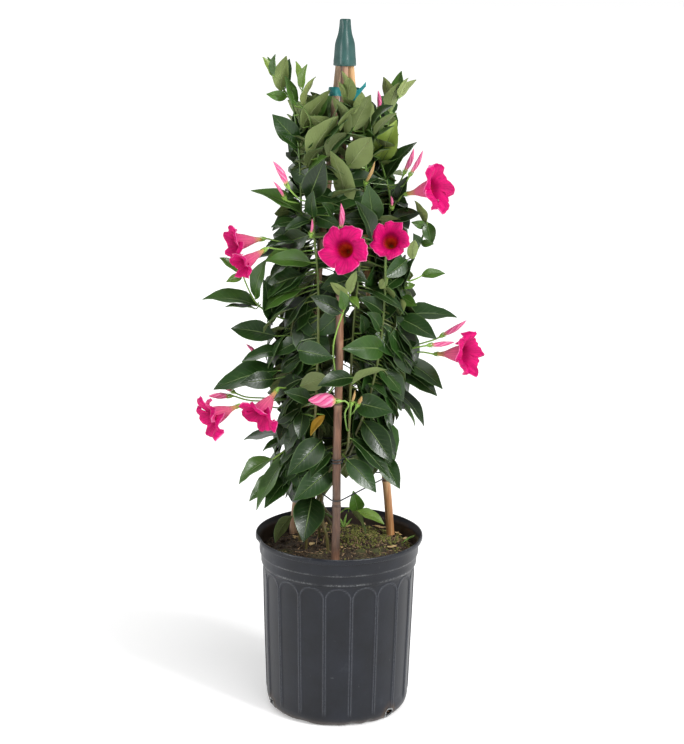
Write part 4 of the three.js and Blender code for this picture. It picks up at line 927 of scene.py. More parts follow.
@dataclass(frozen=True)
class LeafSkin:
    """One face of the leaves: pale midrib and side veins over green that is fresher when young,
    and darker as painted shade on leaves inside the mass.

    A look is the share of the pale tone and the relief, which is sunken below zero.
    """

    name: str
    tones: Stops
    rib: str
    wilted: str
    mottle: Triple
    vein_width: float
    vein_look: Pair
    rib_width: Pair
    rib_look: Pair
    edge: str
    edge_share: float
    gloss: Pair
    quilt: float
    depth: float
    specular: float
    veins: float = 9.0
    slant: float = 2.1

    def make(self) -> Material:
        """Build the material."""
        add = Shader(self.name)
        across, along, _ = add("SeparateXYZ", add("UVMap")).outputs
        across = add("Math.ABSOLUTE", add("Math.SUBTRACT", across, 0.5))
        across = add("Math.MULTIPLY", across, 2.0)
        scale, detail, spread = self.mottle
        cloud = add("TexNoise", add("TexCoord").outputs["Object"], scale, detail)
        # The tone is darker on leaves inside the mass: painted shade.
        tone = add("Math.ADD", add("Attribute", attribute_name="tone").outputs["Fac"],
                   add("MapRange", cloud, 0, 1, -spread, spread))
        colour = add("ValToRGB", tone, stops=self.tones)
        # The side veins leave the midrib at a slant and fade out towards the edge.
        phase = add("Math.SUBTRACT", add("Math.MULTIPLY", along, self.veins),
                    add("Math.MULTIPLY", across, self.slant))
        vein = add("MapRange.SMOOTHSTEP", add("Math.PINGPONG", phase, 0.5), 0, self.vein_width, 1, 0)
        vein = add("Math.MULTIPLY", vein, add("MapRange", across, 0.95, 0.3))
        rib = add("MapRange", along, 0, 1, *self.rib_width)
        rib = add("MapRange.SMOOTHSTEP", across, 0.008, rib, 1, 0)
        relief = add("Math.MULTIPLY", cloud, self.quilt)
        for part, (share, height) in ((vein, self.vein_look), (rib, self.rib_look)):
            factor = add("Math.MULTIPLY", part, share)
            colour = add("Mix.RGBA", factor, colour, self.rib)
            relief = add("Math.MULTIPLY_ADD", part, height, relief)
        rim = add("MapRange", across, 0.9, 1.0, 0, self.edge_share)
        colour = add("Mix.RGBA", rim, colour, self.edge)
        wilt = add("Attribute", attribute_name="wilt").outputs["Fac"]
        colour = add("Mix.RGBA", wilt, colour, self.wilted)
        return add.close(colour, add("MapRange", cloud, 0, 1, *self.gloss), relief, self.depth,
                         Specular_IOR_Level=self.specular)


# The glossy upper face, dark and quilted, with a thin pale edge.
LEAF_UPPER = LeafSkin(
    "leaf_upper", ((0.0, "13270b"), (0.35, "213f14"), (0.68, "4c7026"), (1.0, "97ab4c")), rib="8ba564",
    wilted="b98f2e", mottle=(38, 3, 0.09), vein_width=0.13, vein_look=(0.07, -0.12),
    rib_width=(0.085, 0.035), rib_look=(0.5, -1), edge="6f9150", edge_share=0.3, gloss=(0.24, 0.4),
    quilt=0.6, depth=0.0009, specular=0.42)
# The matt, paler underside with its raised midrib.
LEAF_UNDER = LeafSkin(
    "leaf_under", ((0.0, "525f33"), (0.5, "76864a"), (1.0, "adba70")), rib="a3b078",
    wilted="a8843c", mottle=(60, 4, 0.08), vein_width=0.12, vein_look=(0.1, 0.4),
    rib_width=(0.11, 0.09), rib_look=(0.35, 1), edge="8a9660", edge_share=0.2, gloss=(0.6, 0.66),
    quilt=0.1, depth=0.0011, specular=0.5)


@dataclass(frozen=True)
class GreenStem:
    """Young stem, fresh green at its tips and browner with age; the stalks of leaves inside the mass are
    darker, as painted shade.
    """

    name: str = "green_stem"
    tones: Stops = ((0.0, "5b4a2e"), (0.4, "55752f"), (1.0, "9cc455"))

    def make(self) -> Material:
        """Build the material."""
        add = Shader(self.name)
        cloud = add("TexNoise", add("TexCoord").outputs["Object"], 120, 4)
        tone = add("Math.ADD", add("Attribute", attribute_name="tone").outputs["Fac"],
                   add("MapRange", cloud, 0, 1, -0.12, 0.12))
        return add.close(add("ValToRGB", tone, stops=self.tones), 0.42, cloud, 0.0005)


@dataclass(frozen=True)
class PetalFace:
    """One satin face of the petals: its tones from foot to rim, under veins that run out like a fan."""

    name: str
    tones: Stops
    fan: Pair
    dark: float
    light: float
    patchy: float
    specular: float

    def make(self) -> Material:
        """Build the material."""
        add = Shader(self.name)
        across, along, _ = add("SeparateXYZ", add("UVMap")).outputs
        cloud = add("TexNoise", add("TexCoord").outputs["Object"], 55, 3)
        uneven = add("MapRange", cloud, 0, 1, -0.25 * self.patchy, 0.25 * self.patchy)
        colour = add("ValToRGB", add("Math.ADD", along, uneven), stops=self.tones)
        fan = add("CombineXYZ", *(add("Math.MULTIPLY", share, lines)
                                  for share, lines in ((across, self.fan[0]), (along, self.fan[1]))))
        veins = add("TexNoise", fan, 1, 3, 0.6)
        shade = add("MapRange", veins, 0.35, 0.65, self.dark, self.light)
        patches = add("MapRange", cloud, 0.35, 0.65, 1 - self.patchy, 1 + 0.3 * self.patchy)
        shade = add("Math.MULTIPLY", shade, patches)
        colour = add("HueSaturation", Color=colour, Value=shade)
        return add.close(colour, 0.55, veins, 0.001, Specular_IOR_Level=self.specular)


# The inner face: an orange throat painted pale and bright deep in the tube, a painted glow against its shade,
# deep colour round the mouth and a lighter rim.
PETAL_INNER = PetalFace(
    "petal_inner", ((0.0, "ffc070"), (0.14, "ff6e2e"), (0.24, "ff6e2e"), (0.31, "e42844"), (0.42, "b8045c"),
                    (0.6, "cc0468"), (0.965, "cc0468"), (1.0, "ea72a8")),
    fan=(26, 2), dark=0.74, light=1.12, patchy=0.2, specular=0.15)
# The outer face: a paler lobe over a tube that is yellow-green at its foot.
PETAL_OUTER = PetalFace(
    "petal_outer", ((0.0, "c9b45a"), (0.06, "c9b45a"), (0.2, "dd6a86"), (0.5, "d8477e"), (0.75, "d02870"),
                    (1.0, "e96aa2")),
    fan=(22, 1), dark=0.72, light=1.14, patchy=0.04, specular=0.18)


@dataclass(frozen=True)
class BudPetal:
    """Furled petals: painted shade in the folds between pale stripes that wind round the bud."""

    name: str
    foot: str = "b9b24e"
    pale: str = "e887ab"
    petal: str = "d94f88"
    fold: str = "ad2b62"
    petals: float = 5.0
    turns: float = 0.55

    def make(self) -> Material:
        """Build the material."""
        add = Shader(self.name)
        across, along, _ = add("SeparateXYZ", add("UVMap")).outputs
        wound = add("Math.MULTIPLY_ADD", along, -self.turns, across)
        stripe = add("Math.FRACT", add("Math.MULTIPLY", wound, self.petals))
        cloud = add("TexNoise", add("TexCoord").outputs["Object"], 180, 3)
        stripe = add("Math.ADD", stripe, add("MapRange", cloud, 0, 1, -0.08, 0.08))
        # The dark tone at each fold is painted shade in the crease.
        colour = add("ValToRGB", stripe, stops=(
            (0.0, self.fold), (0.1, self.petal), (0.45, self.petal), (0.62, self.pale), (0.84, self.pale),
            (0.95, self.petal), (1.0, self.fold)))
        young = add("MapRange.SMOOTHSTEP", along, 0, 0.22, 0.9, 0)
        colour = add("Mix.RGBA", young, colour, self.foot)
        return add.close(colour, 0.4, cloud, 0.0004, Sheen_Weight=0.2)


@dataclass(frozen=True)
class CaneSkin:
    """Bamboo: fine fibres along the cane, blotches, dark rings at its nodes, painted shade down one side and
    darker low down.
    """

    name: str
    deep: str
    tan: str
    pale: str
    darkening: float
    dark_tone: str = "4a3a34"
    ring: str = "3c2a20"
    nodes: Numbers = (0.17, 0.36, 0.56, 0.77)
    foot: float = 0.206
    top: float = 0.986

    def make(self) -> Material:
        """Build the material."""
        add = Shader(self.name)
        spot = add("TexCoord").outputs["Object"]
        height = add("MapRange", add("SeparateXYZ", spot).outputs["Z"], self.foot, self.top)
        fibres = add("TexNoise", add("Mapping", spot, Scale=(420, 420, 14)), 1, 5, 0.65)
        blotches = add("TexNoise", add("Mapping", spot, Scale=(60, 60, 16)), 1, 4)
        colour = add("ValToRGB", add("Mix.FLOAT", 0.5, fibres, blotches),
                     stops=((0.3, self.deep), (0.48, self.tan), (0.68, self.pale)))
        away = 1.0
        for node in self.nodes:
            gap = add("Math.ABSOLUTE", add("Math.SUBTRACT", height, node))
            away = add("Math.MINIMUM", gap, away)
        ring = add("MapRange.SMOOTHSTEP", away, 0.0012, 0.0042, 0.85, 0)
        bloom = add("Math.MAXIMUM", add("MapRange", away, 0.004, 0.016, 0.5, 0),
                    add("MapRange", height, 0.8, 0.92, 0, 0.45))
        colour = add("Mix.RGBA", bloom, colour, self.pale)
        # Painted shade darkens one side all the way up, and the cane is darker all round low down, from just
        # above the soil.
        around = add("Math.MULTIPLY", add("SeparateXYZ", add("UVMap")), TURN)
        side = add("MapRange", add("Math.COSINE", around), 0.35, -0.75, 0, self.darkening)
        low = add("ValToRGB", height, stops=(
            (0.05, "000000"), (0.09, "e6e6e6"), (0.24, "e6e6e6"), (0.42, "404040")))
        low = add("Math.MULTIPLY", low, self.darkening * 1.4)
        darkening = add("Math.MAXIMUM", side, low)
        darkening = add("Math.MULTIPLY", darkening, add("MapRange", blotches, 0.3, 0.6, 0.6, 1))
        colour = add("Mix.RGBA", darkening, colour, self.dark_tone)
        colour = add("Mix.RGBA", ring, colour, self.ring)
        return add.close(colour, 0.5, fibres, 0.0004)


@dataclass(frozen=True)
class Speckled:
    """A surface in three mottled tones, for plastic, wire, litter and moss."""

    name: str
    dark: str
    tone: str
    light: str
    scale: float
    rough: float
    rough_more: float = 0.12
    relief: float = 0.0004
    metal: float = 0.0

    def make(self) -> Material:
        """Build the material."""
        add = Shader(self.name)
        spot = add("TexCoord").outputs["Object"]
        cloud = add("TexNoise", spot, self.scale, 6, 0.62)
        fine = add("TexNoise", spot, self.scale * 9, 3)
        colour = add("ValToRGB", cloud, stops=((0.32, self.dark), (0.5, self.tone), (0.7, self.light)))
        gloss = add("MapRange", fine, 0, 1, self.rough, self.rough + self.rough_more)
        height = add("Mix.FLOAT", 0.4, cloud, fine)
        return add.close(colour, gloss, height, self.relief, Metallic=self.metal)


@dataclass(frozen=True)
class PotPlastic:
    """Moulded pot plastic: charcoal of low gloss, pale along its ridges from wear and a painted highlight,
    scuffs in stretches with a painted highlight on the rim's top edge, dusty low down.
    """

    name: str = "pot_plastic"
    tones: Stops = ((0.3, "121419"), (0.65, "1d2028"), (1.0, "4e5158"))
    ridge_wear_and_highlight: str = "4e5158"
    scuff: str = "9a9c9c"
    soil: str = "4a3a2c"

    def make(self) -> Material:
        """Build the material."""
        add = Shader(self.name)
        ridge, scuffs_and_rim_highlight, stained = (add("Attribute", attribute_name=name).outputs["Fac"]
                                   for name in ("ridge", "scuff", "stain"))
        spot = add("TexCoord").outputs["Object"]
        cloud = add("TexNoise", spot, 16, 5, 0.6)
        grit = add("TexNoise", spot, 420, 3)
        drawn = add("Mapping", spot, Rotation=(0.4, 0.9, 0.2), Scale=(40, 700, 90))
        scratches = add("TexNoise", drawn, 1, 2)
        # The ridges are pale from wear and from a painted highlight along them.
        wear_and_highlight = add("Math.MULTIPLY", ridge, add("MapRange", grit, 0.3, 0.7, 0.25, 0.8))
        # The scuffs take in a painted highlight along the rim's top edge.
        scuffs_and_rim_highlight = add("Math.MULTIPLY", scuffs_and_rim_highlight, add("MapRange", grit, 0.35, 0.75, 0, 0.8))
        scuffs_and_rim_highlight = add("Math.MAXIMUM", add("MapRange", scratches, 0.72, 0.8, 0, 0.12), scuffs_and_rim_highlight)
        colour = add("ValToRGB", cloud, stops=self.tones)
        for factor, tone in ((wear_and_highlight, self.ridge_wear_and_highlight), (scuffs_and_rim_highlight, self.scuff), (stained, self.soil)):
            colour = add("Mix.RGBA", factor, colour, tone)
        return add.close(colour, add("MapRange", cloud, 0, 1, 0.28, 0.46), grit, 0.00012,
                         Specular_IOR_Level=0.3)


@dataclass(frozen=True)
class Peat:
    """Dark peat: brown crumbs in black, with pale fibres, bark dust and a green bloom in places."""

    name: str = "peat"
    tones: Stops = ((0.35, "17120e"), (0.52, "3f3324"), (0.72, "75603f"))
    fibre: str = "a98c64"
    algae: str = "56602f"

    def make(self) -> Material:
        """Build the material."""
        add = Shader(self.name)
        spot = add("TexCoord").outputs["Object"]
        cloud = add("TexNoise", spot, 210, 8, 0.75)
        lumps = add("TexVoronoi", spot, 260, feature="F1").outputs["Distance"]
        threads = add("TexNoise", add("Mapping", spot, Rotation=(0, 0, 0.7), Scale=(60, 900, 300)), 1, 3)
        green = add("TexNoise", spot, 22, 5)
        colour = add("ValToRGB", cloud, stops=self.tones)
        for factor, tone in ((add("MapRange", threads, 0.66, 0.72, 0, 0.7), self.fibre),
                             (add("MapRange", green, 0.56, 0.68, 0, 0.55), self.algae)):
            colour = add("Mix.RGBA", factor, colour, tone)
        return add.close(colour, 0.93, add("Mix.FLOAT", 0.5, cloud, lumps), 0.004)


# The pot, the soil and what stands in it


def on_soil(column: float, row: float, height: float = 247.5, reach: float = 108) -> Rows:
    """Give the place on the soil that the front view shows at a column and row, within its reach."""
    near, far = (VIEW.seen(column, row, depth) for depth in (-120.0, 120.0))
    place = near + (far - near) * (near[2] - height) / (near[2] - far[2])
    place[:2] *= min(1.0, reach / math.hypot(*place[:2]))
    return place


def strewn(rng: np.random.Generator, reach: float) -> tuple[Rows, float]:
    """Draw a place within reach of the pot's middle, and its heading."""
    radius, turn = reach * math.sqrt(rng.uniform()), rng.uniform(0, TURN)
    return np.array((radius * math.cos(turn), radius * math.sin(turn), 0)), turn


def scattered(name: str, crumbs: Sequence[tuple[Rows, Rows, float]], rng: np.random.Generator,
              rough: float = 0.22) -> Piece:
    """Join many small crumbs, each a roughened copy of one lump.

    Args:
        name: The joined piece's name.
        crumbs: For each its middle, its half sizes in millimetres and its turn.
        rng: The seeded draws.
        rough: How far its corners stray.

    Returns:
        The crumbs as one piece.
    """
    bpy.ops.mesh.primitive_ico_sphere_add(subdivisions=1, radius=1)
    lump = bpy.context.object
    corners = points_of(lump)
    pieces = []
    for middle, half, turn in crumbs:
        shape = corners * (1 + rough * rng.uniform(-1, 1, (len(corners), 1))) * half
        forth, aside = math.cos(turn), math.sin(turn)
        spin = np.array(((forth, -aside, 0), (aside, forth, 0), (0, 0, 1)))
        pieces.append(place_points(copy_of(lump, name), (shape @ spin.T + middle) * MM))
    bpy.data.objects.remove(lump)
    return join(pieces, name)


@dataclass
class NurseryPot:
    """The fluted pot: foot, 18 arched panels between raised ridges, stepped collar, rolled rim."""

    flutes: int = 18
    mean_radius: float = 112
    panel_half: Pair = (16.4, 17.6)
    spring: float = 204
    crown: float = 16.4
    panel_depth: float = 0.95
    body: tuple[Pair, Pair] = ((108.4, 17), (115.2, 223))
    body_rings: int = 58
    plain_rings: int = 26
    plain_top: float = 198
    drains: Numbers = (-43, -157, 78)
    drain_radius: float = 7.4
    drain_place: Pair = (106.9, 10)
    # The dent in the rim and those in the foot: at how many degrees, how wide and how deep.
    rim_dent: Triple = (196, 4.5, 3.0)
    rim_drop: float = 1.8
    foot_dents: tuple[Triple, ...] = ((284, 6, 2.2), (298, 4, 1.6), (268, 9, 0.9), (240, 7, 1.2))
    # Places across half a pitch, from the middle of a groove to the middle of a panel.
    half_pitch: Numbers = (0, 0.9, 1.4, 1.8, 2.2, 2.6, 3.0, 3.5, 4.4, 6.5, 10, 14.5)
    below: Pairs = (
        (0, 0), (60, 0), (92, 0), (97, 0), (99.5, 0.5), (102, 2.4), (104.6, 5.4), (106.4, 8.2), (107.3, 11),
        (108, 14.5))
    above: Pairs = (
        (115.3, 223.4), (116.0, 224.4), (117.5, 225.9), (118.2, 226.7), (118.4, 227.6), (118.5, 230),
        (118.7, 236), (118.8, 240.2), (119.2, 241.2), (120.5, 241.9), (121.0, 242.7), (121.1, 244.5),
        (121.2, 252), (121.4, 259), (121.7, 260.6), (122.8, 261.7), (125.2, 262.3), (126.5, 263.0),
        (127.0, 264.4), (127.0, 267.2), (126.7, 268.8), (126.0, 269.7), (125.2, 270), (124.6, 269.7),
        (124.0, 268.4), (122.4, 265.5), (119.6, 262.4), (119.0, 259), (118.7, 250), (118.4, 241.5),
        (117.2, 238), (115.9, 228), (113.2, 222.5), (112.6, 210), (109.2, 120), (104.2, 12), (101.5, 6),
        (97, 3), (60, 3), (0, 3))

    def profile(self) -> Rows:
        """Give the wall's profile as rows of radius and height."""
        (low_radius, low), (high_radius, high) = self.body
        arched = np.linspace(200, high - 0.4, self.body_rings - self.plain_rings)
        heights = np.concatenate([np.linspace(low, self.plain_top, self.plain_rings), arched])
        radii = np.interp(heights, (low, high), (low_radius, high_radius))
        return np.vstack([self.below, np.column_stack([radii, heights]), self.above])

    def outline_distance(self, offset: Rows, height: Rows) -> Rows:
        """Give the distance outwards from the nearest panel's arched outline.

        Args:
            offset: Millimetres round the wall from the panel's middle.
            height: Millimetres up.

        Returns:
            The distance, below zero inside the panel.
        """
        half = np.interp(height, (self.body[0][1], self.spring), self.panel_half)
        arch = np.maximum(0, (height - self.spring) / self.crown)
        return (np.sqrt((offset / half) ** 2 + arch ** 2) - 1) * np.where(arch > 0, self.crown, half)

    @staticmethod
    def degrees_from(spot: float, angle: Rows) -> Rows:
        """Give how far angles in radians lie round from a spot in degrees, from -180 to 180."""
        return (np.degrees(angle) - spot + 180) % 360 - 180

    def build(self) -> Piece:
        """Turn the wall, press its panels, dent it and cut its drain holes.

        Returns:
            The pot, with its ridges, its scuffs with a painted highlight on the rim's top edge, and its
            stains noted for its finish.
        """
        profile = self.profile()
        half = np.array(self.half_pitch)
        pitch = TURN * self.mean_radius / self.flutes
        marks = np.concatenate([half, [pitch / 2], pitch - half[:0:-1]]) / pitch
        columns = len(marks) * self.flutes
        pot = copy_of(TEMPLATES.stack(columns, len(profile)), "nursery_pot")
        x, y, rings = points_of(pot).T
        row = np.rint(rings).astype(int)
        radius, height = profile[row].T
        column = np.rint(np.arctan2(y, x) / TURN % 1 * columns).astype(int) % columns
        panel, mark = np.divmod(column, len(marks))
        share = marks[mark]
        angle = (panel + share) / self.flutes * TURN
        distance = self.outline_distance((share - 0.5) * pitch * radius / self.mean_radius, height)
        outer = (row >= len(self.below)) & (row < len(self.below) + self.body_rings)
        fade = smooth(17, 20, height) * smooth(222.8, 221.4, height) * outer
        press = 0.7 * bell(distance - 0.9, 0.9) - self.panel_depth * smooth(0.3, -1.5, distance)
        radius = radius + (press - 0.35 * smooth(1.4, 2.4, distance)) * fade
        # The rim is pushed in and folded a little at the left, and the foot is dented in front.
        spot, reach, depth = self.rim_dent
        away = self.degrees_from(spot, angle)
        push = bell(away, reach) * smooth(246, 266, height)
        radius = radius - depth * push
        height = height - self.rim_drop * push * np.cos(away * 0.5)
        for spot, reach, depth in self.foot_dents:
            foot = depth * bell(self.degrees_from(spot, angle), reach) * smooth(14, 0, height)
            radius = radius - 0.8 * foot
            height = height + foot * (radius > 90)
        # The wall is a little out of round towards its rim.
        wave = 0.5 * np.sin(3 * angle + 0.6) + 0.3 * np.sin(7 * angle)
        radius = radius + (wave - 0.8) * smooth(120, 262, height)
        places = round_axis(radius, angle, height)
        # Two steps of the collar have scuffs in stretches, and the rim's top edge has a painted highlight in
        # the same stretches.
        # Soil stains the foot, the inside of the rim and the drains.
        wear_and_highlight = bell(height - 227.2, 1.2) + 0.8 * bell(height - 242.4, 1.0) + 0.5 * bell(height - 269.6, 0.8)
        wear_and_highlight *= (0.5 + 0.5 * np.sin(angle * 5 + 1) * np.sin(angle * 13)) * (radius > 114)
        stain = 0.45 * smooth(13, 3, height)
        stain += 0.5 * ((radius < 119.2) & (height > 238) & (row > len(profile) - 16))
        for hole in self.drain_middles():
            gap = np.linalg.norm(places - hole, axis=1) - self.drain_radius
            stain += 0.7 * bell(gap - 3, 4)
        # The ridge mark carries wear and a painted highlight along the ridges.
        note(pot, ridge=bell(distance - 0.9, 1.0) * fade, scuff=wear_and_highlight.clip(0, 1), stain=stain.clip(0, 1))
        place_points(pot, places * MM)
        edit(pot, merge, face_outwards)
        self.cut_drains(pot)
        return soften(join([pot, *self.lips()], "nursery_pot"), 35)

    def drain_middles(self) -> Rows:
        """Give the middles of the drain holes."""
        return round_axis(self.drain_place[0], np.radians(self.drains), self.drain_place[1])

    def lips(self) -> list[Piece]:
        """Roll a torn pale lip of plastic round each drain hole."""
        rng = np.random.default_rng(9)
        turns = np.linspace(0, TURN, 29)
        wall, levels = zip(*self.below[4:], self.body[0])
        lips = []
        for angle in self.drains:
            away = (self.drain_radius + 0.2) * (1 + 0.1 * np.sin(turns * 3 + angle))
            up = self.drain_place[1] + away * np.sin(turns)
            around = math.radians(angle) + away * np.cos(turns) / self.drain_place[0]
            path = round_axis(np.interp(up, levels, wall) + 0.1, around, np.maximum(up, 1.0))
            lips.append(note(tube_along("lip", path, rng.uniform(0.6, 1.5, len(path)), 6), scuff=2.2))
        return lips

    def cut_drains(self, pot: Piece) -> None:
        """Cut the drain holes, each with a ragged edge."""
        rng = np.random.default_rng(7)
        drills = []
        for angle, hole in zip(self.drains, self.drain_middles()):
            way = unit(hole * (1, 1, 0))
            bore = hole + way * np.linspace(-14, 14, 6)[:, None]
            drill = tube_along("drill", bore, self.drain_radius, 14)
            ragged = points_of(drill)
            out = ragged - hole * MM
            out -= np.outer(out @ way, way)
            turn = np.arctan2(out[:, 2], out @ np.array((-way[1], way[0], 0)))
            ragged += out * (0.1 * np.sin(turn * 3 + angle) + 0.05 * rng.uniform(-1, 1))[:, None]
            drills.append(place_points(drill, ragged))
        cutter = join(drills, "drills")
        apply_modifier(pot, "BOOLEAN", operation="DIFFERENCE", object=cutter, solver="EXACT")
        bpy.data.objects.remove(cutter)


@dataclass
class PottingMix:
    """The bed of soil and the litter on it."""

    columns: int = 210
    top_rings: int = 62
    below: Pairs = (
        (0, 3.5), (60, 3.5), (95.5, 3.5), (103.6, 12.6), (108.4, 120), (111.9, 212), (112.3, 223),
        (116.0, 236), (117.5, 241))
    mound: Pairs = (
        (0, 248), (28, 248), (54, 247), (78, 246.8), (100, 245.2), (117.6, 242.3))
    loose_crumbs: int = 620
    drain_crumbs: int = 16
    # Lumps under the stems, by column and row.
    lumps: Pairs = ((277, 534), (284, 541), (291, 530), (298, 547), (272, 541), (310, 533))
    moss_tufts: int = 900
    # The courses of the long strands.
    long_strands: tuple[Pairs, ...] = (
        ((322, 521), (326, 530), (323, 544)), ((329, 519), (331, 531), (334, 545)),
        ((318, 530), (327, 535), (338, 533)), ((326, 524), (318, 538), (316, 548)),
        ((355, 537), (357, 542), (358, 549)), ((300, 522), (309, 530), (322, 533)),
        ((384, 520), (395, 526), (409, 524)), ((286, 522), (296, 518), (309, 520)))
    loose_strands: int = 330
    # Dead leaves: column and row, length, width and heading; and the ranges from which more are drawn.
    chips: tuple[Numbers, ...] = (
        (392, 548, 15, 7, 0.3), (312, 545, 13, 8, 1.1), (397, 534, 7, 5, 0.2), (417, 533, 8, 3, 2.2),
        (296, 538, 12, 5, 2.6), (341, 549, 9, 5, 0.9), (366, 524, 10, 4, 1.9), (275, 530, 9, 5, 0.5),
        (404, 520, 12, 6, 2.9), (303, 524, 9, 4, 2.0))
    chip_ranges: Pairs = ((275, 410), (505, 540), (5, 12), (3, 6), (0, 3))
    more_chips: int = 14
    # Green blades: three places by column and row, and the width.
    blades: tuple[tuple[Any, ...], ...] = (
        ((403, 543), (409, 538), (415, 535), 3.0), ((415, 540), (418, 534), (421, 529), 2.4),
        ((343, 527), (341, 521), (338, 515), 3.4), ((344, 527), (345, 520), (347, 513), 3.6),
        ((345, 527), (349, 522), (352, 518), 3.0), ((342, 527), (337, 524), (334, 520), 2.8))

    def level(self, x: Rows, y: Rows) -> Rows:
        """Give the height of the soil's top at places, its lumps included."""
        radius = np.hypot(x, y)
        lumps = 1.5 * np.sin(x * 0.13) * np.cos(y * 0.17 + 1)
        lumps += 0.9 * np.sin(x * 0.31 + y * 0.12) * np.sin(y * 0.37 + 2)
        lumps += 0.5 * np.sin(x * 0.83) * np.sin(y * 0.71 + x * 0.2)
        return np.interp(radius, *zip(*self.mound)) + lumps * smooth(119, 108, radius)

    def bed(self) -> Piece:
        """Turn the closed bed with its lumpy top."""
        rng = np.random.default_rng(3)
        tops = [(radius, 0) for radius in np.linspace(self.below[-1][0], 0, self.top_rings)]
        profile = np.array([*self.below, *tops])

        def place(around: Rows, row: Rows) -> Rows:
            """Place the vertices of the bed."""
            radius, side = profile[row].T
            bed = round_axis(radius, around * TURN, side)
            grains = rng.uniform(-0.7, 0.9, len(row)) * (radius > 4) * (radius < 116)
            bed[:, 2] = np.where(row < len(self.below), side, self.level(*bed[:, :2].T) + grains)
            return bed

        return turned("potting_mix", self.columns, len(profile), place, 80)

    def crumbs(self) -> Piece:
        """Scatter crumbs of peat over the bed and into the drain holes."""
        rng = np.random.default_rng(11)
        crumbs = []
        for _ in range(self.loose_crumbs):
            spot, turn = strewn(rng, 114)
            size = 1.0 + 3.2 * rng.uniform() ** 3
            spot[2] = self.level(*spot[:2]) + size * 0.3
            crumbs.append((spot, size * np.array((1, rng.uniform(0.6, 1), rng.uniform(0.45, 0.8))), turn))
        for column, row in self.lumps:
            crumbs.append((on_soil(column, row) + (0, 0, 2), np.array((5.5, 4.4, 3.6)), column))
        for angle in NurseryPot.drains * self.drain_crumbs:
            turn = math.radians(angle + rng.uniform(-3, 3))
            radius, height = rng.uniform(100.5, 102.5), rng.uniform(5, 15)
            crumbs.append((round_axis(min(radius, 96 + 0.8 * height), turn, height)[0],
                           np.array((2.6, 2.6, 2.2)), turn))
        return scattered("peat_crumbs", crumbs, rng)

    def moss(self) -> Piece:
        """Grow the tufts of olive moss at the front right."""
        rng = np.random.default_rng(19)
        tufts = []
        for _ in range(self.moss_tufts):
            spot = on_soil(rng.normal(374, 22), rng.normal(532, 8))
            spot[2] = self.level(*spot[:2]) + 1.1
            size = rng.uniform(0.9, 2.2) * np.array((1, 1, rng.uniform(0.8, 1.7)))
            tufts.append((spot, size, rng.uniform(0, TURN)))
        return scattered("moss_tufts", tufts, rng, 0.35)

    def strands(self) -> Piece:
        """Lay the pale root strands and thin sticks on the bed."""
        rng = np.random.default_rng(23)
        pieces = []
        for course in self.long_strands:
            points = [on_soil(*place) + (0, 0, 1.4 + 2.2 * (k == 1)) for k, place in enumerate(course)]
            path = Course(points).stepped(2.5)
            path[:, 2] += 0.5 * np.sin(np.arange(len(path)) * 1.3 + rng.uniform(0, 6))
            pieces.append(tube_along("strand", path, rng.uniform(0.45, 0.8), 5))
        for k in range(self.loose_strands):
            spot, _ = strewn(rng, 108)
            heading = rng.uniform(0, TURN)
            # Every second one lies by the moss.
            if k % 2:
                spot = on_soil(rng.normal(378, 20), rng.normal(534, 8))
            reach = rng.uniform(4, 15)
            ends = spot + np.outer((-0.5, 0, 0.5), heading_way(heading, 0) * reach)
            ends[1] += rng.uniform(-2, 2, 3)
            ends[:, 2] = self.level(ends[:, 0], ends[:, 1]) + 1.0
            pieces.append(tube_along("strand", Course(ends).spaced(5), rng.uniform(0.25, 0.5), 4))
        return join(pieces, "root_strands")

    def leaf_litter(self) -> Piece:
        """Lay dead leaves and bark chips, curled on the bed."""
        rng = np.random.default_rng(29)
        drawn = [[rng.uniform(*ends) for ends in self.chip_ranges] for _ in range(self.more_chips)]
        pieces = []
        for column, row, length, width, heading in (*self.chips, *drawn):
            curl = rng.uniform(0.1, 0.3)

            def place(across: Rows, along: Rows) -> Rows:
                """Place the vertices of one dead leaf."""
                half = width * np.sqrt(np.sin(math.pi * (0.04 + 0.92 * along)).clip(0)) * (across - 0.5)
                x = (along - 0.5) * length
                lift = curl * (np.abs(half) + 0.35 * np.abs(x)) + 0.4 * np.sin(along * 7 + column)
                ahead, aside = heading_way(heading, 0), heading_way(heading + TURN / 4, 0)
                flat = np.outer(x, ahead) + np.outer(half, aside)
                return on_soil(column, row) + flat + np.outer(2.2 + lift, (0, 0, 1))

            pieces.append(laid_sheet("dead_leaf", 5, 8, place, 0.5))
        return soften(join(pieces, "dead_leaves"))

    def seedlings(self) -> Piece:
        """Grow the few thin green blades and the small weed by the stems."""
        pieces = []
        for *course, width in self.blades:
            base = on_soil(*course[0]) + (0, 0, 0.5)
            upper = [VIEW.seen(*place, base[1] - 2 * k) for k, place in enumerate(course[1:], 1)]
            path = Course([base, *upper])

            def place(across: Rows, along: Rows) -> Rows:
                """Place the vertices of one blade."""
                shape = np.clip(np.sin(math.pi * (0.12 + 0.86 * along)), 0.05, 1)
                half = width / 2 * shape * (across * 2 - 1)
                return path.at(along) + np.column_stack([half, 0.25 * np.abs(half), 0.35 * np.abs(half)])

            pieces.append(laid_sheet("blade", 4, 8, place, 0.4))
        return soften(join(pieces, "seedlings"), 60)


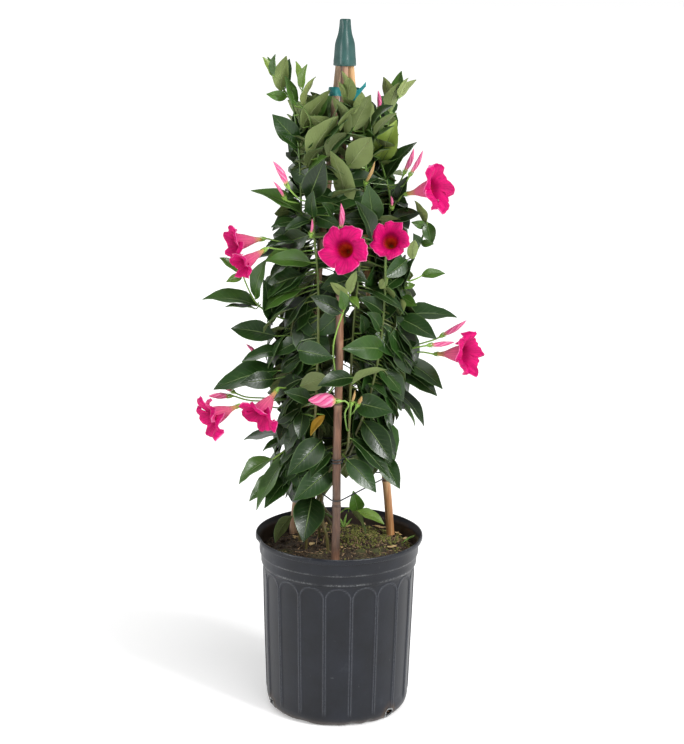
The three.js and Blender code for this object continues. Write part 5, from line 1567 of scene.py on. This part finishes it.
@dataclass
class BambooTripod:
    """Three canes that lean together at the top, with their cap, tie and wire hoops."""

    # The feet of the canes, and the ways that their tops lie from the middle, in degrees.
    feet: dict[str, Pair] = field(default_factory=lambda: {
        "front": (-5, -92), "right": (80, 57), "left": (-71, 64)})
    top_angles: dict[str, float] = field(default_factory=lambda: {"front": -90, "right": 30, "left": 150})
    top: float = 986
    bottom: float = 206
    spread: float = 6.5
    soil: float = 248
    radii: Pair = (6.1, 5.3)
    nodes: Numbers = CaneSkin.nodes
    # The rings of a node in millimetres: how high, how far above the node and how wide.
    node_rings: tuple[Triple, ...] = ((0.75, -1.6, 3.2), (-0.55, 0.5, 0.6), (0.35, 2.2, 1.6))
    cap_top: float = 1028
    cap_lobe: float = 0.18
    cap_outer: Pairs = (
        (0, 0), (5.2, 0), (6.8, -0.3), (7.7, -1.2), (8.0, -2.6), (8.3, -5), (8.8, -9), (9.5, -15),
        (10.4, -20), (11.9, -25), (13.7, -30), (14.9, -35), (15.5, -41), (16.0, -48), (16.4, -54),
        (16.7, -55), (16.9, -57), (17.0, -61), (17.2, -64), (16.9, -64.7), (16.5, -65))
    cap_inner: Pairs = (
        (15.9, -65), (15.5, -64.2), (15.4, -60), (14.6, -48), (13.2, -40), (11, -38), (0, -38))
    tie_height: float = 926
    tie_width: float = 9
    tie_thickness: float = 0.6
    tie_start: float = -80
    tie_turns: int = 2
    tie_rise: float = 3.4
    tie_end: tuple[Triple, ...] = ((352, 99, -27), (359, 92, -28), (366, 84, -27))
    hoops: dict[str, float] = field(default_factory=lambda: {"low": 347, "high": 401})
    wire: float = 1.0
    hoop_slack: float = 1.3
    hoop_step: float = 9
    # The bends of a hoop: the cane, the angles from and to, and the climb.
    bends: tuple[tuple[str, float, float, float], ...] = (
        ("left", 118, 214, 0), ("front", 206, 338, 0), ("right", -34, 94, 0), ("left", 86, 182, 3.2))
    # How much further the high hoop goes round the front cane, and how far it climbs there.
    front_lap: Pair = (360, 6)

    def ends(self, name: str) -> tuple[Rows, Rows]:
        """Give the bottom and top of a cane."""
        top = round_axis(self.spread, math.radians(self.top_angles[name]), self.top)[0]
        down = unit(np.array((*self.feet[name], self.soil)) - top)
        return top + down * (self.top - self.bottom) / -down[2], top

    def middle(self, name: str, height: float) -> Rows:
        """Give the middle of a cane at a height."""
        bottom, top = self.ends(name)
        return bottom + (top - bottom) * (height - bottom[2]) / (top[2] - bottom[2])

    def cane(self, name: str) -> Piece:
        """Turn a cane with its swollen nodes and a slight bow."""
        bottom, top = self.ends(name)
        length = float(np.linalg.norm(top - bottom))
        steps = [0.0, 0.0, 1.0, *np.linspace(0, 1, 40)]
        steps += [node + offset / length for node in self.nodes
                  for offset in (-9, -5, -2.6, -1.2, -0.4, 0.5, 1.6, 3, 6, 10)]
        shares = np.array(sorted(steps))

        def place(around: Rows, row: Rows) -> Rows:
            """Place the vertices of the cane."""
            share = shares[row]
            radius = np.interp(share, (0, 1), self.radii)
            for node in self.nodes:
                away = (share - node) * length
                radius += sum(height * bell(away - above, wide) for height, above, wide in self.node_rings)
            radius = np.where((row == 0) | (row == len(shares) - 1), 0, radius)
            radius = radius * (1 + 0.02 * np.sin(2 * around * TURN + share * 9))
            bow = 0.5 * np.sin(share * 21 + len(name)) * smooth(0, 0.1, share) * smooth(1, 0.9, share)
            places = round_axis(radius, around * TURN, share * length)
            places[:, 0] += bow
            return standing_on(places, bottom, unit(top - bottom))

        return turned("bamboo_" + name, 22, len(shares), place, 50)

    def cap(self) -> Piece:
        """Turn the three-lobed cap, hollow where the canes go in."""
        profile = np.array(self.cap_outer + self.cap_inner)

        def place(around: Rows, row: Rows) -> Rows:
            """Place the vertices of the cap."""
            radius, drop = profile[row].T
            angle = around * TURN
            lobes = np.cos(3 * (angle + math.pi / 2))
            lobes = np.sign(lobes) * np.abs(lobes) ** 0.8
            depth = self.cap_lobe * smooth(2, 9, -drop) * np.where(row < len(self.cap_outer), 1, 0.75)
            return round_axis(radius * (1 + depth * (lobes - 1) / 2), angle, self.cap_top + drop)

        return turned("tripod_cap", 96, len(profile), place, 30)

    def tie(self) -> Piece:
        """Wind the tie ribbon twice round the canes and let its end stand up to the right."""
        radius = math.hypot(*self.middle("right", self.tie_height)[:2]) + self.radii[0] + self.tie_thickness
        turns = np.linspace(0, self.tie_turns, 36 * self.tie_turns + 1)
        angle = np.radians(self.tie_start) + turns * TURN
        away = radius + 1.1 * turns + 0.9 * np.cos(3 * (angle + math.pi / 2))
        rise = self.tie_height - self.tie_rise + self.tie_rise * turns + 0.8 * np.sin(angle * 2)
        wound = round_axis(away, angle, rise)
        path = Course([*wound[::3], *(VIEW.seen(*place) for place in self.tie_end)]).stepped(2.2)
        shares = np.linspace(0, 1, len(path))

        def place(across: Rows, along: Rows) -> Rows:
            """Place the vertices of the ribbon."""
            spot = np.column_stack([np.interp(along, shares, path[:, k]) for k in range(3)])
            spot += unit(spot * (1, 1, 0)) * (0.35 * np.cos(along * 90) * (across - 0.5) * 2)[:, None]
            spot[:, 2] += (across - 0.5) * self.tie_width * (1 - 0.25 * smooth(0.93, 1, along))
            return spot

        return soften(laid_sheet("tie_ribbon", 6, 130, place, self.tie_thickness), 50)

    def hoop(self, name: str) -> Piece:
        """Bend a wire hoop round the outside of the three canes, the high one twice round the front."""
        away = self.radii[0] + self.wire + self.hoop_slack
        points: list[Rows] = []
        for cane, start, stop, climb in self.bends:
            if name == "high" and cane == "front":
                stop, climb = stop + self.front_lap[0], climb + self.front_lap[1]
            angles = np.arange(start, stop + 1, 12)
            points += list(self.middle(cane, self.hoops[name]) + round_axis(
                away, np.radians(angles), climb * (angles - start) / (stop - start)))
        fine = [points[0]]
        for before, after in zip(points, points[1:]):
            parts = max(1, round(float(np.linalg.norm(after - before)) / self.hoop_step))
            fine += [before + (after - before) * (k + 1) / parts for k in range(parts)]
        return tube_along("hoop_wire_" + name, np.array(fine), self.wire, 8)


# The plant


@dataclass
class Calyx:
    """A flower stalk and the calyx at its end, with its five sepals."""

    vine: str
    by: list[Rows]
    foot: Rows
    ahead: Rows
    width: float
    length: float = 7
    sepal: float = 7.5
    sepals: int = 5
    sepal_half: float = 1.7
    # The rings of the receptacle: how far along, and the radius.
    receptacle: Pairs = ((0, 1.35), (1.5, 1.9), (3.5, 2.5), (5.5, 2.9), (6.9, 2.7))

    @classmethod
    def of(cls, one: Flower | Bud) -> "Calyx":
        """Give the calyx of a flower or a bud."""
        ahead, width = (one.mouth, one.radius) if isinstance(one, Flower) else (one.tip, one.width)
        by = [VIEW.seen(*place) for place in one.by]
        return cls(one.vine, by, VIEW.seen(*one.foot), VIEW.seen(*ahead), width)

    def build(self, places: Rows) -> list[Piece]:
        """Grow the stalk, the receptacle and the sepals.

        Args:
            places: The places along the vine that carries it.

        Returns:
            Their meshes.
        """
        towards = unit(self.ahead - self.foot)
        heel = self.foot - towards * self.length
        root = nearest(places, self.by[0] if self.by else heel)
        path = Course([root, *self.by, heel, heel + towards * 1.5]).stepped(6)
        swell = np.interp(np.linspace(0, 1, len(path)), (0, 0.06, 0.3, 1), (1.6, 1.25, 1.1, 1.3))
        pieces = [tube_along("stalk", path, swell, 7, np.linspace(0.3, 0.75, len(path)))]
        along, radii = np.array(self.receptacle).T
        pieces.append(tube_along("receptacle", heel + towards * along[:, None], radii, 10, 0.8))
        scale = min(1.0, 0.55 + self.width / 22)
        for k in range(self.sepals):

            def place(across: Rows, along: Rows) -> Rows:
                """Place the vertices of one sepal."""
                half = self.sepal_half * scale * (1 - along) ** 0.7 + 0.12
                radius = 2.75 + 0.55 * np.sin(along * 2.6) + 0.9 * along ** 3
                angle = (k + 0.2) / self.sepals * TURN + (across * 2 - 1) * half / radius
                rise = 3.2 + self.sepal * scale * along
                return standing_on(round_axis(radius, angle, rise), heel, towards)

            pieces.append(note(laid_sheet("sepal", 2, 4, place, 0.45), tone=0.78))
        return pieces


@dataclass
class LeafyVine:
    """One climbing stem with its shoots, leaf stalks, leaves, flower stalks and calyces."""

    name: str
    habit: Habit
    calyces: Sequence[Calyx]
    leaves: Sequence[LeafPlace]
    stem_radii: Pair = (2.3, 1.4)
    shoot_radii: Pair = (1.5, 1.0)
    stalk_radii: Numbers = (1.15, 1.0, 0.9, 0.85, 0.7, 0.45)
    blade_thickness: float = 0.7
    # Faces across and along the blades of the listed and paired leaves, and of the inner ones.
    outer_faces: Pair = (6, 9)
    inner_faces: Pair = (4, 5)

    def stems(self) -> list[Piece]:
        """Grow the stem and its shoots."""
        pieces = []
        for course, is_main in self.habit.courses[self.name]:
            path = course.stepped(9)
            share = np.linspace(0, 1, len(path))
            radii = np.interp(share, (0, 1), self.stem_radii if is_main else self.shoot_radii)
            radii = radii * (1 + 0.05 * np.sin(share * course.lengths[-1] / 7))
            fresh = 0.05 + 0.4 * share ** 1.5 if is_main else 0.45 + 0.45 * share
            pieces.append(tube_along("stem", path, radii, 8, fresh))
        return pieces

    def stalk(self, leaf: LeafPlace) -> Piece:
        """Grow a leaf's stalk from inside the stem to its midrib."""
        up = leaf.axes()[2]
        middle = (leaf.stem + leaf.base) / 2 + up * 0.05 * float(np.linalg.norm(leaf.base - leaf.stem))
        path = Course([leaf.stem, middle, leaf.base, *leaf.midrib([0.12])]).spaced(5)
        # Stalks of leaves inside the mass are darker: painted shade.
        fresh = 0.45 + 0.5 * leaf.tone - 0.25 * leaf.inner
        return tube_along("leaf_stalk", path, np.array(self.stalk_radii), 5, fresh)

    def blade(self, leaf: LeafPlace) -> Piece:
        """Lay a leaf's blade: folded at its midrib, arched, waved and drawn out to its tip."""
        _, side, up = leaf.axes()
        phase = float(leaf.base.sum())

        def place(across: Rows, along: Rows) -> Rows:
            """Place the vertices of the blade."""
            off = across * 2 - 1
            share = 0.004 + 0.99 * along
            shape = blade_half(share) * (1 - 0.16 * bell(share - 0.93, 0.06))
            half = np.maximum(leaf.width / 2 * 1.04 * shape, 0.5)
            lift = 1.3 * leaf.fold * half * np.abs(off) ** 1.2
            lift += 0.1 * half * np.sin(share * 11 + phase + (off > 0) * 1.3) * off ** 2
            lift -= 0.03 * leaf.length * np.sin(share * math.pi * 1.5) * (share > 0.66)
            return leaf.midrib(share) + np.outer(off * half, side) + np.outer(lift, up)

        faces = self.inner_faces if leaf.inner else self.outer_faces
        return note(laid_sheet("blade", *faces, place), tone=leaf.tone, wilt=leaf.wilt)

    def build(self, green: Material, upper: Material, under: Material) -> Piece:
        """Grow the whole vine.

        Args:
            green: The finish of stems and stalks.
            upper: The finish of the leaves' upper faces.
            under: The finish of their undersides.

        Returns:
            The vine as one piece.
        """
        stalks = self.stems()
        for calyx in self.calyces:
            stalks += calyx.build(self.habit.places[self.name])
        stalks = join([*stalks, *(self.stalk(leaf) for leaf in self.leaves)], "stalks")
        stalks.data.materials.append(green)
        foliage = join([self.blade(leaf) for leaf in self.leaves], "foliage")
        foliage.data.materials.append(upper)
        foliage.data.materials.append(under)
        apply_modifier(foliage, "SOLIDIFY", thickness=self.blade_thickness * MM, offset=0, material_offset=1)
        return soften(join([stalks, foliage], "leafy_" + self.name), 45)


@dataclass
class InnerMass:
    """More leaves inside the mass of foliage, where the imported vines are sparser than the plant."""

    habit: Habit
    step: float = 5.5
    lowest: float = 306
    highest: float = 955
    front: float = -46
    upper_front: float = -62
    upper_row: float = 305
    back: float = 90
    middle: float = 20
    tries: int = 10
    # By share of the height: how steeply the leaves climb, in degrees, and how far their faces look out.
    shares: Numbers = (0, 0.25, 0.5, 0.68, 0.85, 1)
    climbs: Numbers = (-62, -55, -44, -10, 46, 66)
    faces: Numbers = (0.9, 0.9, 0.85, 0.55, -0.6, -0.9)
    # The ranges from which they are drawn: degrees round and up, length, stalk, and width by length.
    heading_range: float = 130
    climb_range: float = 18
    lengths: Pair = (52, 82)
    high_loss: float = 0.25
    stalks: Pair = (6, 42)
    proportions: Pair = (0.52, 0.66)
    folds: Pair = (0.06, 0.24)
    arches: Pair = (0.05, 0.14)
    # Where the front cane is bare: its column at a row, its slant, and how near no leaf may come.
    cane_column: float = 345
    cane_row: float = 310
    cane_slant: float = 0.036
    cane_bare_below: float = 314
    cane_reach: float = 11
    cane_front: float = -20

    def __post_init__(self) -> None:
        """Note which places are kept clear: the spot, how far round it, and how far behind it."""
        self.kept_clear = [(flower.mouth, flower.radius * 0.62 + 5, 34) for flower in FLOWERS]
        self.kept_clear += [(flower.foot, flower.radius * 0.217 + 5, 34) for flower in FLOWERS]
        self.kept_clear += [([(a + b) / 2 for a, b in zip(bud.foot, bud.tip)], 15, 12) for bud in BUDS]

    def fits(self, point: Rows) -> bool:
        """Say whether a leaf may be here: inside the mass, and before no flower, bud or bare cane."""
        column, row = VIEW.pictured(point)
        depth = point[1]
        rows, lefts, rights = FOLIAGE_EDGES.T
        front = self.upper_front if row < self.upper_row else self.front
        if not (front < depth < self.back and rows[0] < row < rows[-1]
                and np.interp(row, rows, lefts) < column < np.interp(row, rows, rights)):
            return False
        if any(math.hypot(column - spot[0], row - spot[1]) < reach and depth < spot[2] + behind
               for spot, reach, behind in self.kept_clear):
            return False
        cane = self.cane_column - self.cane_slant * (row - self.cane_row)
        by_cane = row > self.cane_bare_below and abs(column - cane) < self.cane_reach
        return not (by_cane and depth < self.cane_front)

    def leaves(self) -> list[LeafPlace]:
        """Find their places up every stem."""
        rng = np.random.default_rng(41)
        found = []
        for vine, here in ((vine, here) for vine in STEMS
                           for here in self.habit.courses[vine][0][0].stepped(self.step)):
            share = (here[2] - self.lowest) / (self.highest - self.lowest)
            for _ in range(self.tries if 0 < share < 1 else 0):
                off = rng.uniform(-self.heading_range, self.heading_range)
                heading = math.atan2(here[1] - self.middle, here[0]) + math.radians(off)
                steep = float(np.interp(share, self.shares, self.climbs))
                climb = math.radians(steep + rng.uniform(-self.climb_range, self.climb_range))
                way = heading_way(heading, climb)
                length = rng.uniform(*self.lengths) * (1 - self.high_loss * share)
                base = here + heading_way(heading, climb * 0.5) * rng.uniform(*self.stalks)
                tip = base + way * length
                out = unit((base + tip) * (0.5, 0.5, 0) - (0, self.middle, 0))
                look = out * np.interp(share, self.shares, self.faces)
                look = look + (0, 0, 0.5) + rng.normal(0, 0.26 + 0.3 * share ** 2, 3)
                if all(self.fits(point) for point in (base, (base + tip) / 2, tip)):
                    look = unit(look - way * look.dot(way))
                    wide, fold, arch = (rng.uniform(*ends) for ends in (
                        self.proportions, self.folds, self.arches))
                    width = length * wide
                    found.append(LeafPlace(vine, here, base, tip, look, width, fold, arch, inner=True))
                    break
        return found


# The base of the one leaf that has turned yellow, low on the left, by column and row.
YELLOW_LEAF = (325, 415)


def colour_leaves(leaves: Sequence[LeafPlace], habit: Habit) -> None:
    """Give each leaf its tone: lighter high up, fresher when small and near a growing tip, darker inside the
    mass as painted shade.
    """
    rng = np.random.default_rng(53)
    tips = np.array([course.at([1.0])[0] for courses in habit.courses.values() for course, _ in courses])
    for leaf in leaves:
        near_tip = float(bell(np.linalg.norm(tips - leaf.base, axis=1).min(), 32))
        height = float(smooth(300, 980, leaf.base[2]))
        small = float(smooth(42, 24, leaf.length))
        tone = 0.18 + 0.12 * height + 0.3 * near_tip + 0.16 * small + rng.normal(0, 0.13)
        # Leaves inside the mass are darkened: painted shade.
        leaf.tone = float(np.clip(tone - 0.08 * leaf.inner, 0, 1))
        if not leaf.inner and math.dist(VIEW.pictured(leaf.base), YELLOW_LEAF) < 5:
            leaf.wilt = 0.85


@dataclass
class Corolla:
    """A funnel flower: a tube that flares to its mouth, and five lobes that overlap like a pinwheel."""

    flower: Flower
    faces: Pair = (10, 20)
    mouth_radius: float = 14
    mouth_share: float = 0.4
    tube: Numbers = (0, 0.02, 0.14, 0.28, 0.4, 0.5, 0.6, 0.7, 0.8, 0.9, 1)
    thickness: float = 0.7
    petals: int = 5
    overlap: float = 0.24
    swirl: float = 0.22
    # A lobe's droop, phase, size, curl and ruffle are drawn from these.
    ranges: Pairs = ((-0.12, 0.22), (0, TURN), (0.8, 0.94), (0.4, 1.5), (0.08, 0.2))
    # How far out a lobe's edge lies, from its one side to the other.
    edge: Pairs = (
        (-1, 0.4), (-0.8, 0.66), (-0.6, 0.78), (-0.2, 0.85), (0.2, 0.9), (0.4, 0.98), (0.6, 1.02),
        (0.8, 0.74), (1, 0.42))

    def build(self, *faces: Material) -> Piece:
        """Lay the five lobes, join them in the tube and give the petals their thickness.

        Args:
            faces: The finishes of the petals' inner and outer faces.

        Returns:
            The flower.
        """
        flower = self.flower
        foot, mouth_spot = VIEW.seen(*flower.foot), VIEW.seen(*flower.mouth)
        way = unit(mouth_spot - foot)
        seat = foot + way * 0.3
        length = float(np.linalg.norm(mouth_spot - seat))
        mouth = min(self.mouth_radius, flower.radius * self.mouth_share)
        reach = flower.radius - mouth
        spread = 1 / math.tan(math.radians(flower.open))
        rng = np.random.default_rng(int(flower.turn) + int(flower.radius) * 7)
        lobes = []
        for k in range(self.petals):
            droop, phase, size, curl, ruffle = (rng.uniform(*ends) for ends in self.ranges)

            def place(across: Rows, along: Rows) -> Rows:
                """Place the vertices of one lobe and its fifth of the tube."""
                off = across * 2 - 1
                part = np.interp(along * 2, np.linspace(0, 1, len(self.tube)), self.tube)
                wide = np.interp(part, (0, 0.02, 0.2, 0.34, 0.5, 0.72, 1),
                                 (0, 2.3, 3.1, 4.6, mouth * 0.56, mouth * 0.8, mouth))
                out = np.clip(along * 2 - 1, 0, 1)
                edge = np.interp(off, *zip(*self.edge))
                edge = edge * (1 - 0.06 * np.sin(off * 8 + phase) ** 2 - 0.035 * np.sin(off * 17 - phase))
                rolled_back = smooth(0.68, 1, out) * (curl * 0.5 + 0.5 * np.sin(off * 3.1 + phase) ** 2)
                radius = mouth + reach * size * edge * (out - 0.07 * rolled_back)
                rise = edge * ((0.16 + spread) * (1 - (1 - out) ** 2) - droop * out ** 2)
                ruffled = ruffle * np.sin(off * 5.6 + phase) * out ** 2
                rise += 0.13 * off * out + ruffled - 0.24 * rolled_back
                in_tube = along <= 0.5 + 1e-6
                radius = np.where(in_tube, wide, radius)
                rise = np.where(in_tube, part * length, length + reach * rise)
                turn = (k + 0.5 + 0.5 * off * (1 + self.overlap * out)) / self.petals * TURN
                turn = turn + math.radians(flower.turn) + self.swirl * out
                return standing_on(round_axis(radius, turn, rise), seat, way)

            lobes.append(laid_sheet("lobe", *self.faces, place))
        corolla = join(lobes, "bloom_" + flower.name)
        edit(corolla, merge)
        for face in faces:
            corolla.data.materials.append(face)
        apply_modifier(corolla, "SOLIDIFY", thickness=self.thickness * MM, offset=0, material_offset=1)
        return soften(corolla, 60)


@dataclass
class FurledBud:
    """A spindle bud whose petals are wound round it."""

    bud: Bud
    folds: int = 5
    turns: float = BudPetal.turns
    ridge: float = 0.14
    sides: int = 30
    rings: int = 22

    def build(self) -> Piece:
        """Turn the bud with its five spiral folds."""
        foot, tip = VIEW.seen(*self.bud.foot), VIEW.seen(*self.bud.tip)
        way = unit(tip - foot)
        seat = foot + way * 0.3
        length = float(np.linalg.norm(tip - seat))
        half = self.bud.width / 2

        def place(around: Rows, ring: Rows) -> Rows:
            """Place the vertices of the bud."""
            along = ring / (self.rings - 1)
            profile = np.interp(along, (0, 0.02, 0.16, 0.3, 0.42, 0.55, 0.7, 0.82, 0.92, 1),
                                (0, min(2.4 / half, 0.8), 0.78, 0.95, 1, 0.93, 0.72, 0.5, 0.27, 0))
            fold = ((around - self.turns * along) * self.folds) % 1
            radius = half * profile * (1 - self.ridge * fold ** 1.5 * smooth(0.12, 0.35, along))
            places = round_axis(radius, around * TURN, along * length)
            places[:, 0] += 0.05 * length * np.sin(along * math.pi)
            return standing_on(places, seat, way)

        return turned("petals_" + self.bud.name, self.sides, self.rings, place, 50)


# The studio


class Lamp(Enum):
    """The soft lamps: place in metres, width of the panel and power in watts."""

    KEY = ((2.3, -1.9, 2.3), 0.8, 78)
    FILL = ((-2.6, -1.0, 1.3), 0.7, 34)
    BACK = ((-1.2, 2.8, 2.4), 1.6, 18)


@dataclass
class Studio:
    """A pale floor, soft lamps and the camera at the front view."""

    floor_size: float = 1600
    floor_glow: Pair = (0.22, 0.5)
    glow_reach: Pair = (0.8, 4.0)
    sun_strength: float = 1.2
    sun_spread: float = 45
    sun_way: Triple = (-0.4, 0.5, -0.9)
    air_strength: float = 0.34
    aim: Triple = (0, 0, 0.6)
    sensor: float = 36
    picture_height: float = 744
    sight: float = 3000

    @staticmethod
    def stand(data: Any, place: Triple = (0, 0, 0), way: Triple = (0, 0, -1)) -> Piece:
        """Stand a lamp or the camera at a place, looking a way."""
        holder = bpy.data.objects.new(data.name, data)
        holder.location = place
        holder.rotation_euler = Vector(way).to_track_quat("-Z", "Y").to_euler()
        bpy.context.scene.collection.objects.link(holder)
        return holder

    def lay_floor(self) -> None:
        """Lay the floor, which glows a little so that it stays pale far off."""
        bpy.ops.mesh.primitive_plane_add(size=self.floor_size)
        floor = bpy.context.object
        floor.name = "studio_floor"
        paper = Shader("studio_paper")
        away = paper("VectorMath.LENGTH", paper("TexCoord").outputs["Object"]).outputs["Value"]
        glow = paper("MapRange", away, *self.glow_reach, *self.floor_glow)
        finish = paper.close("fdfdfd", 0.9, Specular_IOR_Level=0.0, Emission_Color="ffffff",
                             Emission_Strength=glow)
        floor.data.materials.append(finish)

    def light_air(self) -> None:
        """Light the air: white to the camera, and weaker than that on the plant."""
        world = bpy.data.worlds.new("studio_air")
        bpy.context.scene.world = world
        world.use_nodes = True
        nodes, links = world.node_tree.nodes, world.node_tree.links
        sky = next(node for node in nodes if node.type == "BACKGROUND")
        sky.inputs["Color"].default_value = linear("ffffff")
        seen = nodes.new("ShaderNodeMapRange")
        seen.inputs["To Min"].default_value = self.air_strength
        links.new(nodes.new("ShaderNodeLightPath").outputs["Is Camera Ray"], seen.inputs["Value"])
        links.new(seen.outputs["Result"], sky.inputs["Strength"])

    def build(self) -> None:
        """Lay the floor, hang the lamps and stand the camera."""
        scene = bpy.context.scene
        scene.view_settings.view_transform = "Standard"
        self.lay_floor()
        self.light_air()
        sun = bpy.data.lights.new("lamp_high", "SUN")
        sun.energy, sun.angle = self.sun_strength, math.radians(self.sun_spread)
        self.stand(sun, way=self.sun_way)
        for lamp in Lamp:
            spot, size, power = lamp.value
            light = bpy.data.lights.new("lamp_" + lamp.name.lower(), "AREA")
            light.size, light.energy = size, power
            self.stand(light, spot, Vector(self.aim) - Vector(spot))
        camera = bpy.data.cameras.new("front_view")
        camera.sensor_width, camera.clip_end = self.sensor, self.sight
        camera.lens = self.sensor * VIEW.focal / self.picture_height
        scene.camera = self.stand(camera, Vector(VIEW.eye) * MM)
        tilt, roll = Matrix.Rotation(TURN / 4 - VIEW.pitch, 3, "X"), Matrix.Rotation(VIEW.roll, 3, "Z")
        scene.camera.rotation_euler = (tilt @ roll).to_euler()


def build_pot() -> None:
    """Build the pot and the soil with its litter."""
    deliver(NurseryPot().build(), ["pot"], "pot", PotPlastic().make())
    mix = PottingMix()
    deliver(mix.bed(), ["soil"], "soil", Peat().make())
    for build, slot, finish in (
            (mix.crumbs, "soil", Speckled("peat_crumb", "1a130e", "38291d", "66503a", 300, 0.9)),
            (mix.moss, "soil", Speckled("moss", "3a3f1e", "62652f", "97914f", 300, 0.9)),
            (mix.strands, "soil", Speckled("root", "6e553b", "a08260", "cbb38c", 260, 0.8)),
            (mix.leaf_litter, "soil", Speckled("dead_leaf", "8a6a3e", "b89b68", "d9c79c", 160, 0.75)),
            (mix.seedlings, "foliage", Speckled("seedling", "5f8a36", "86b552", "b6d480", 200, 0.5))):
        deliver(build(), [], slot, finish.make())


def build_tripod() -> None:
    """Build the canes, their cap, the tie ribbon and the wire hoops."""
    tripod = BambooTripod()
    # The fifth value is how far the painted shade down one side and the darkening low down go.
    for name, skin in (("front", CaneSkin("cane_front", "5c4032", "95694f", "c09a7d", 0.8, dark_tone="2c221d")),
                       ("right", CaneSkin("cane_right", "9a6840", "c68d58", "e6c08c", 0.3)),
                       ("left", CaneSkin("cane_left", "92694f", "c29c7c", "dfc3a4", 0.45))):
        deliver(tripod.cane(name), ["stake_" + name], "bamboo", skin.make())
    teal = Speckled("cap_plastic", "22443f", "284d49", "305854", 30, 0.36, 0.1, 0.0001)
    deliver(tripod.cap(), ["stake_cap"], "cap", teal.make())
    tape = Speckled("ribbon_film", "0a6b6f", "10888b", "35abaa", 80, 0.35, 0.1)
    deliver(tripod.tie(), ["tie_tape"], "tape", tape.make())
    wire = Speckled("hoop_coat", "15181a", "24292b", "3b4345", 90, 0.35, 0.15, 0.0002, 0.3).make()
    for name in tripod.hoops:
        deliver(tripod.hoop(name), ["wire_hoop_" + name], "wire", wire)


def grow_plant() -> None:
    """Build the vines, the flowers and the buds."""
    habit = Habit()
    habit.grow()
    leaves = [*habit.leaves, *InnerMass(habit).leaves()]
    colour_leaves(leaves, habit)
    log.info("leaves: %d of the habit, %d in all", len(habit.leaves), len(leaves))
    skins = [finish.make() for finish in (GreenStem(), LEAF_UPPER, LEAF_UNDER)]
    calyces = [Calyx.of(one) for one in (*FLOWERS, *BUDS)]
    for name in STEMS:
        vine = LeafyVine(name, habit, [calyx for calyx in calyces if calyx.vine == name],
                         [leaf for leaf in leaves if leaf.vine == name])
        deliver(vine.build(*skins), [name], "foliage")
    petals = [finish.make() for finish in (PETAL_INNER, PETAL_OUTER)]
    for flower in FLOWERS:
        deliver(Corolla(flower).build(*petals), [flower.name], "petal")
    pink = BudPetal("bud_petal").make()
    amber = BudPetal("bud_petal_young", foot="8a9440", pale="bba862", petal="a97c48", fold="7a5236").make()
    for bud in BUDS:
        deliver(FurledBud(bud).build(), [bud.name], "bud", amber if bud.name in YOUNG_BUDS else pink)


def main() -> None:
    """Build the studio, the pot, the tripod and the plant in turn, then clear the templates."""
    logging.basicConfig(level=logging.INFO, format="%(name)s: %(message)s")
    Studio().build()
    build_pot()
    build_tripod()
    grow_plant()
    TEMPLATES.clear()


if __name__ == "__main__":
    main()
